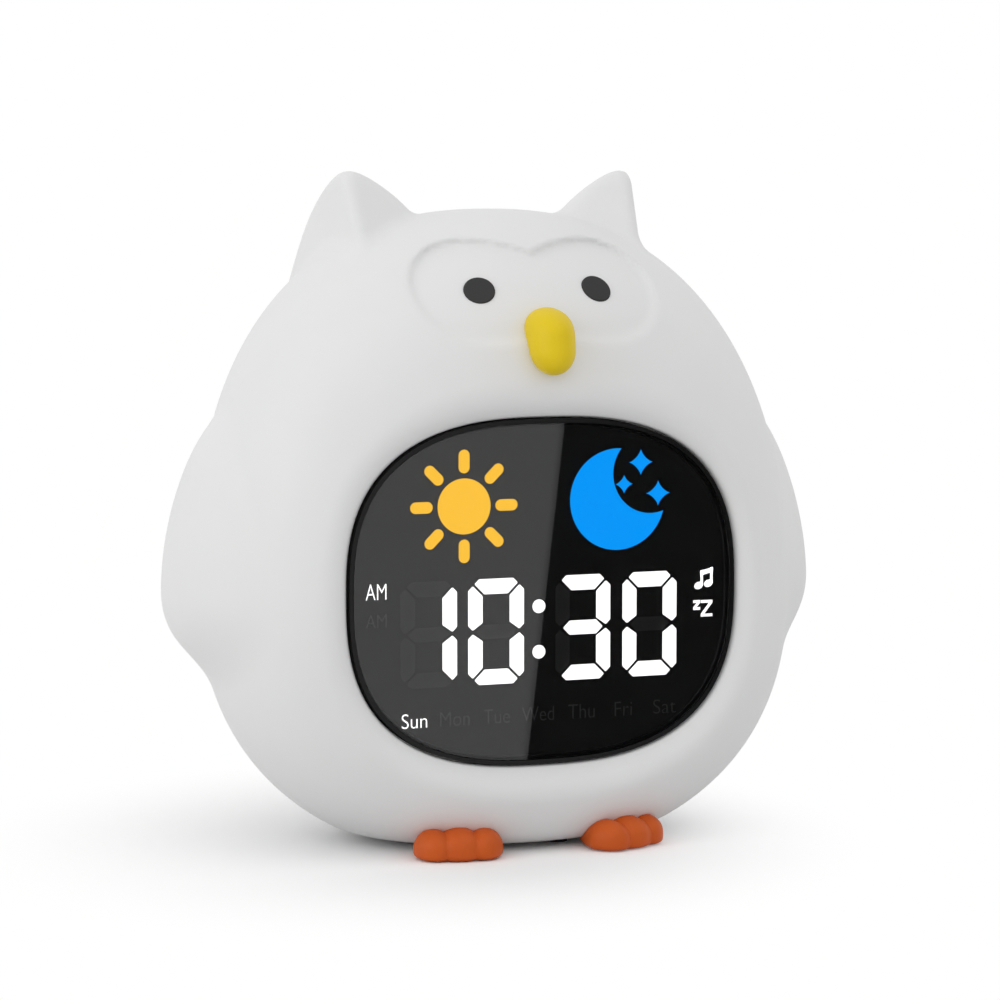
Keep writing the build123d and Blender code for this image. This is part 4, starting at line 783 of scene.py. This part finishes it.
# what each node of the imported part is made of: name, how it is finished, its look and the nodes
buttons = ("set", "up", "alarm", "light", "down", "sound")
finishes = (
    # ABS from a spark-eroded tool: an even, slightly glinting texture
    ("whiteTexturedAbs", mouldedFinish, {"dark": "#DADAD8", "light": "#DFDFDD", "cloud": 12.0, "rough": 0.5,
     "ior": 1.53, "grain": 0.35, "relief": 0.5}, ("rear_panel", "base_plate", "coin_door")),
    # milky polycarbonate from a smooth tool, so that the lamps behind it glow evenly
    ("milkyMouldedPolycarbonate", mouldedFinish, {"dark": "#E4E4E0", "light": "#EAEAE6", "cloud": 15.0,
     "rough": 0.35, "ior": 1.58, "grain": 0.8, "relief": 0.1}, ("front_housing", "rear_housing")),
    # keys of ABS with a finer texture than the panel, so they feel smoother
    ("greyTexturedAbs", mouldedFinish, {"dark": "#B3B6BA", "light": "#B9BCC0", "cloud": 5.0, "rough": 0.42,
     "ior": 1.53, "grain": 0.25, "relief": 0.3},
     tuple(b + "_button" for b in buttons) + ("alarm_slider_knob",)),
    # ABS from a satin tool: black, with a soft reflection along its edges
    ("blackSatinAbs", mouldedFinish, {"dark": "#0C0C0C", "light": "#101010", "cloud": 8.0, "rough": 0.4,
     "ior": 1.53, "grain": 0.3, "relief": 0.12, "specular": 0.2}, ("display_bezel",)),
    # glass-filled PBT: flat black, with a dull grain
    ("blackMouldedPbt", mouldedFinish, {"dark": "#121212", "light": "#161616", "cloud": 6.0, "rough": 0.8,
     "ior": 1.55, "grain": 0.5, "relief": 0.12}, ("switch_bodies", "alarm_slider_body", "usb_tongue")
     + tuple(b + "_plunger" for b in buttons)),
    # a block printed with matt black ink, so that only the lit shapes show through the lens
    ("blackPrintedBlock", mouldedFinish, {"dark": "#262626", "light": "#282828", "cloud": 20.0, "rough": 0.9,
     "ior": 1.5, "grain": 0.6, "relief": 0.03, "specular": 0.05}, ("reflector_block", "small_windows")),
    # unlit diffusers: the same ink, thinner, so they show as a ghost of the figures
    ("smokedDiffuser", mouldedFinish, {"dark": "#505050", "light": "#545454", "cloud": 10.0, "rough": 0.8,
     "ior": 1.5, "grain": 0.6, "relief": 0.03, "specular": 0.05}, ("unlit_segments",)),
    # tinted film for the words that are off: the same ghost, a little paler for its fine strokes
    ("smokedFilm", mouldedFinish, {"dark": "#6C6C6C", "light": "#707070", "cloud": 10.0, "rough": 0.8,
     "ior": 1.5, "grain": 0.6, "relief": 0.03, "specular": 0.05}, ()),
    # pad-printed ink: a thin matt layer, slightly uneven at this scale
    ("greyPadInk", mouldedFinish, {"dark": "#45484C", "light": "#4D5054", "cloud": 1.5, "rough": 0.7,
     "ior": 1.5, "grain": 0.15, "relief": 0.1}, ()),
    # cellular foam and rubber: dead black, with open pores
    ("blackFoamRubber", mouldedFinish, {"dark": "#17171A", "light": "#222225", "cloud": 2.0, "rough": 0.9,
     "ior": 1.45, "grain": 0.5, "relief": 0.8, "depth": 0.15}, ("lens_gasket", "foot_pads")),
    # epoxy moulding compound: charcoal, dull, with a sandy surface
    ("chipEpoxy", mouldedFinish, {"dark": "#232326", "light": "#2C2C2F", "cloud": 1.5, "rough": 0.6,
     "ior": 1.55, "grain": 0.12, "relief": 0.4}, ("display_chips", "main_chips")),
    # silicone with phosphor poured over the lamp chips: a plump deep yellow
    ("phosphorResin", mouldedFinish, {"dark": "#DDB445", "light": "#EBC65A", "cloud": 1.2, "rough": 0.3,
     "ior": 1.41, "grain": 0.3, "relief": 0.1}, ("nightlight_leds",)),
    # pressed paper pulp: felted fibres that show as a coarse matt mottle
    ("pressedBlackPaper", mouldedFinish, {"dark": "#1B1B1C", "light": "#333334", "cloud": 0.9, "rough": 0.9,
     "ior": 1.45, "grain": 0.7, "relief": 0.9, "depth": 0.12, "sheen": 0.2}, ("speaker_cone",)),
    # PET sleeve shrunk over the cell: glossy, tight, with slow ripples
    ("blueShrinkSleeve", mouldedFinish, {"dark": "#1C4E86", "light": "#235A97", "cloud": 9.0, "rough": 0.22,
     "ior": 1.57, "grain": 3.0, "relief": 0.35, "depth": 0.12}, ("battery",)),
    # polyester cable film: pale, smooth, ribbed where the wires run
    ("flatCableFilm", mouldedFinish, {"dark": "#C9C9C2", "light": "#D6D6CF", "cloud": 4.0, "rough": 0.35,
     "ior": 1.57, "grain": 0.9, "relief": 0.3}, ("ribbon_cable",)),
    # sintered ferrite: slate grey, with a ground bloom
    ("sinteredFerrite", mouldedFinish, {"dark": "#3A3B3D", "light": "#4B4C4F", "cloud": 2.5, "rough": 0.55,
     "ior": 2.3, "grain": 0.4, "relief": 0.35}, ("speaker_magnet",)),
    # screws of steel, zinc plated and turned: bright with rings of fine scratches
    ("zincPlatedSteel", metalFinish, {"dark": "#A9ABAE", "light": "#C6C8CB", "stretch": (1, 1, 6),
     "scratch": 0.5, "patch": 1.6, "rough": 0.32, "relief": 0.25},
     ("housing_screws", "display_screws", "panel_screws", "board_screws", "base_screws")),
    # stamped and tumbled steel: bright, with short scratches
    ("stampedSteel", metalFinish, {"dark": "#B4B6B8", "light": "#CFD1D3", "stretch": (1, 5, 1),
     "scratch": 0.6, "patch": 2.5, "rough": 0.28, "relief": 0.3},
     ("usb_socket", "coin_spring", "touch_spring", "speaker_frame")),
    # nickel-plated can: mirror-like, with scratches from handling
    ("nickelPlatedSteel", metalFinish, {"dark": "#BDBAB3", "light": "#D5D2CB", "stretch": (5, 1, 1),
     "scratch": 0.8, "patch": 3.5, "rough": 0.2, "relief": 0.2}, ("coin_cell",)),
    # green solder mask over a glass-fibre board: glossy, with paler tracks under it
    ("greenSolderMask", boardFinish, {"mask": "#0E4A29", "track": "#1B6A3C", "turn": (pi / 2, 0, 0),
     "run": 9.0, "pitch": 1.3, "rough": 0.3}, ("display_pcb", "main_pcb", "usb_board")),
    # white solder mask over an aluminium-backed board: glossy, with faint tracks under it
    ("whiteSolderMask", boardFinish, {"mask": "#DEDEDA", "track": "#ECECE8", "turn": (0, 0, 0), "run": 12.0,
     "pitch": 2.2, "rough": 0.3}, ("nightlight_board",)),
    # milky acrylic diffusers with their lamps on: an even glow up to their edges
    ("litWhiteDiffuser", litFinish, {"body": "#E8E8E8", "glow": "#FFFFFF", "strength": 3.2},
     ("lit_segments",)),
    ("litYellowDiffuser", litFinish, {"body": "#6B4A00", "glow": "#FFC200", "strength": 2.2}, ("sun_icon",)),
    ("litBlueDiffuser", litFinish, {"body": "#003C66", "glow": "#009AFF", "strength": 2.27}, ("moon_icon",)),
    # polished smoked acrylic: it dims what lies behind it under a clean mirror-like reflection
    ("smokedPolishedAcrylic", polishedFinish, {"colour": "#B2B2B2", "clear": 1.0, "rough": 0.02},
     ("display_lens",)),
)
replacedNodes = ("silicone_skin", "left_eye", "right_eye", "beak", "left_foot", "right_foot")
used = set(replacedNodes)
finished = {}
for name, finish, look, places in finishes:
    finished[name] = finish(name, look)
    for node in places:
        setOn(nodes[node], finished[name])
        used.add(node)
plain = [name for name in nodes if name not in used]
print("nodes without a finish:", plain or "none")
for node in replacedNodes:
    setOn(nodes[node], skin.data.materials[0])
for obj in litSigns:
    setOn(obj, finished["litWhiteDiffuser"])
for obj in darkSigns:
    setOn(obj, finished["smokedFilm"])
setOn(starSigns, finished["litBlueDiffuser"])
for obj in keyPrints:
    setOn(obj, finished["greyPadInk"])
print("finishes done")

# the camera: place in millimetres, focal length, horizon and the egg's axis in pixels of the frame
view = {"azimuth": 20.2, "distance": 698.0, "height": 137.8, "focal": 3458.0, "horizon": 150.0,
        "axisAt": 493.7, "frame": 1000, "sensor": 36, "clipStart": 0.01}
# lamps, sky and floor: places and lengths in metres, power in watts
studio = {"sky": 0.85, "floorReach": 3.0, "floorWhite": "#FFFFFF", "floorBounce": "#E0E0E0",
          "fadeMiddle": (-0.02, -0.008, 0), "fadeFrom": 0.03, "fadeTo": 0.095,
          "lampAim": (0, 0, 0.06), "lampSize": (0.7, 0.7)}
lamps = {"leftLamp": {"place": (-1.0, -0.2, 0.4), "power": 2.0},
         "topLamp": {"place": (0.15, -0.4, 1.05), "power": 0.6}}
# a grey flag held beside the lens, so that only the left of it mirrors the white studio; in millimetres
flag = {"depth": -120.0, "edgeTop": (39.54, 77.74), "edgeBottom": (30.53, 0.83), "right": 330.0, "top": 420.0,
        "bottom": -60.0}
flagLook = {"dark": "#545454", "light": "#5A5A5A", "cloud": 9.0, "rough": 0.95, "ior": 1.3, "grain": 1.0,
            "relief": 0.5, "specular": 0.0}


def placeCamera():
    turn = radians(view["azimuth"])
    data = bpy.data.cameras.new("mainCamera")
    data.sensor_width = view["sensor"]
    data.lens = view["sensor"] * view["focal"] / view["frame"]
    data.clip_start = view["clipStart"]
    obj = bpy.data.objects.new("mainCamera", data)
    obj.location = (-view["distance"] * sin(turn) * mm, (-view["distance"] * cos(turn) + axisShift) * mm,
                    view["height"] * mm)
    pitch = atan((view["frame"] / 2 - view["horizon"]) / view["focal"])
    yaw = atan((view["frame"] / 2 - view["axisAt"]) / view["focal"])
    obj.rotation_euler = (pi / 2 - pitch, 0, -turn - yaw)
    bpy.context.scene.collection.objects.link(obj)
    bpy.context.scene.camera = obj


def addLamp(name, lamp):
    data = bpy.data.lights.new(name, "AREA")
    data.shape = "RECTANGLE"
    data.size, data.size_y = studio["lampSize"]
    data.energy = lamp["power"]
    obj = bpy.data.objects.new(name, data)
    obj.location = lamp["place"]
    way = Vector(studio["lampAim"]) - Vector(lamp["place"])
    obj.rotation_euler = way.to_track_quat("-Z", "Y").to_euler()
    bpy.context.scene.collection.objects.link(obj)


def seenRays(tree):
    # 1 for rays from the eye and for reflections and refractions, 0 for plain light
    path = addNode(tree, "ShaderNodeLightPath")
    mirrored = addNode(tree, "ShaderNodeMath", {"operation": "MAXIMUM"},
                       {0: (path, "Is Camera Ray"), 1: (path, "Is Glossy Ray")})
    return addNode(tree, "ShaderNodeMath", {"operation": "MAXIMUM"},
                   {0: (mirrored, 0), 1: (path, "Is Transmission Ray")})


def addWorld():
    world = bpy.data.worlds.new("studio")
    bpy.context.scene.world = world
    world.use_nodes = True
    background = world.node_tree.nodes["Background"]
    background.inputs["Color"].default_value = (1, 1, 1, 1)
    addNode(world.node_tree, "ShaderNodeMapRange", {"To Min": studio["sky"], "To Max": 1.0},
            {"Value": (seenRays(world.node_tree), 0)}, [(background, "Strength", "Result")])


def addFloor():
    # plain pale floor; what the eye sees of it fades to white away from the object
    reach = studio["floorReach"]
    corners = [(-reach, -reach, 0), (reach, -reach, 0), (reach, reach, 0), (-reach, reach, 0)]
    floor = makeObject("studioFloor", corners, [(0, 1, 2, 3)], False)
    material = bpy.data.materials.new("paleStudioFloor")
    material.use_nodes = True
    tree = material.node_tree
    tree.nodes.remove(tree.nodes["Principled BSDF"])
    output = tree.nodes["Material Output"]
    seen = seenRays(tree)
    paint = addNode(tree, "ShaderNodeMix", {"data_type": "RGBA", 6: linear(studio["floorBounce"]),
                                            7: linear(studio["floorWhite"])}, {0: (seen, 0)})
    matt = addNode(tree, "ShaderNodeBsdfDiffuse", {}, {"Color": (paint, 2)})
    white = addNode(tree, "ShaderNodeEmission", {"Color": (1, 1, 1, 1), "Strength": 1.0})
    place = addNode(tree, "ShaderNodeTexCoord")
    away = addNode(tree, "ShaderNodeVectorMath", {"operation": "DISTANCE", 1: studio["fadeMiddle"]},
                   {0: (place, "Object")})
    fade = addNode(tree, "ShaderNodeMapRange",
                   {"interpolation_type": "SMOOTHSTEP", "From Min": studio["fadeFrom"],
                    "From Max": studio["fadeTo"]}, {"Value": (away, "Value")})
    share = addNode(tree, "ShaderNodeMath", {"operation": "MULTIPLY"}, {0: (fade, "Result"), 1: (seen, 0)})
    addNode(tree, "ShaderNodeMixShader", {}, {0: (share, 0), 1: (matt, 0), 2: (white, 0)},
            [(output, "Surface", 0)])
    setOn(floor, material)


def addFlag():
    (topX, topZ), (lowX, lowZ) = flag["edgeTop"], flag["edgeBottom"]
    lean = (topX - lowX) / (topZ - lowZ)
    corners = [(lowX + lean * (flag["bottom"] - lowZ), flag["bottom"]), (flag["right"], flag["bottom"]),
               (flag["right"], flag["top"]), (lowX + lean * (flag["top"] - lowZ), flag["top"])]
    points = toFrame([(x, flag["depth"], z) for x, z in corners]).tolist()
    card = makeObject("greyFlag", points, [(0, 1, 2, 3)], False)
    card.visible_camera = False
    card.visible_diffuse = False
    card.visible_shadow = False
    setOn(card, mouldedFinish("greyFlagCloth", flagLook))


placeCamera()
addWorld()
addFloor()
addFlag()
for name, lamp in lamps.items():
    addLamp(name, lamp)
bpy.context.scene.view_settings.view_transform = "Standard"
print("studio done")
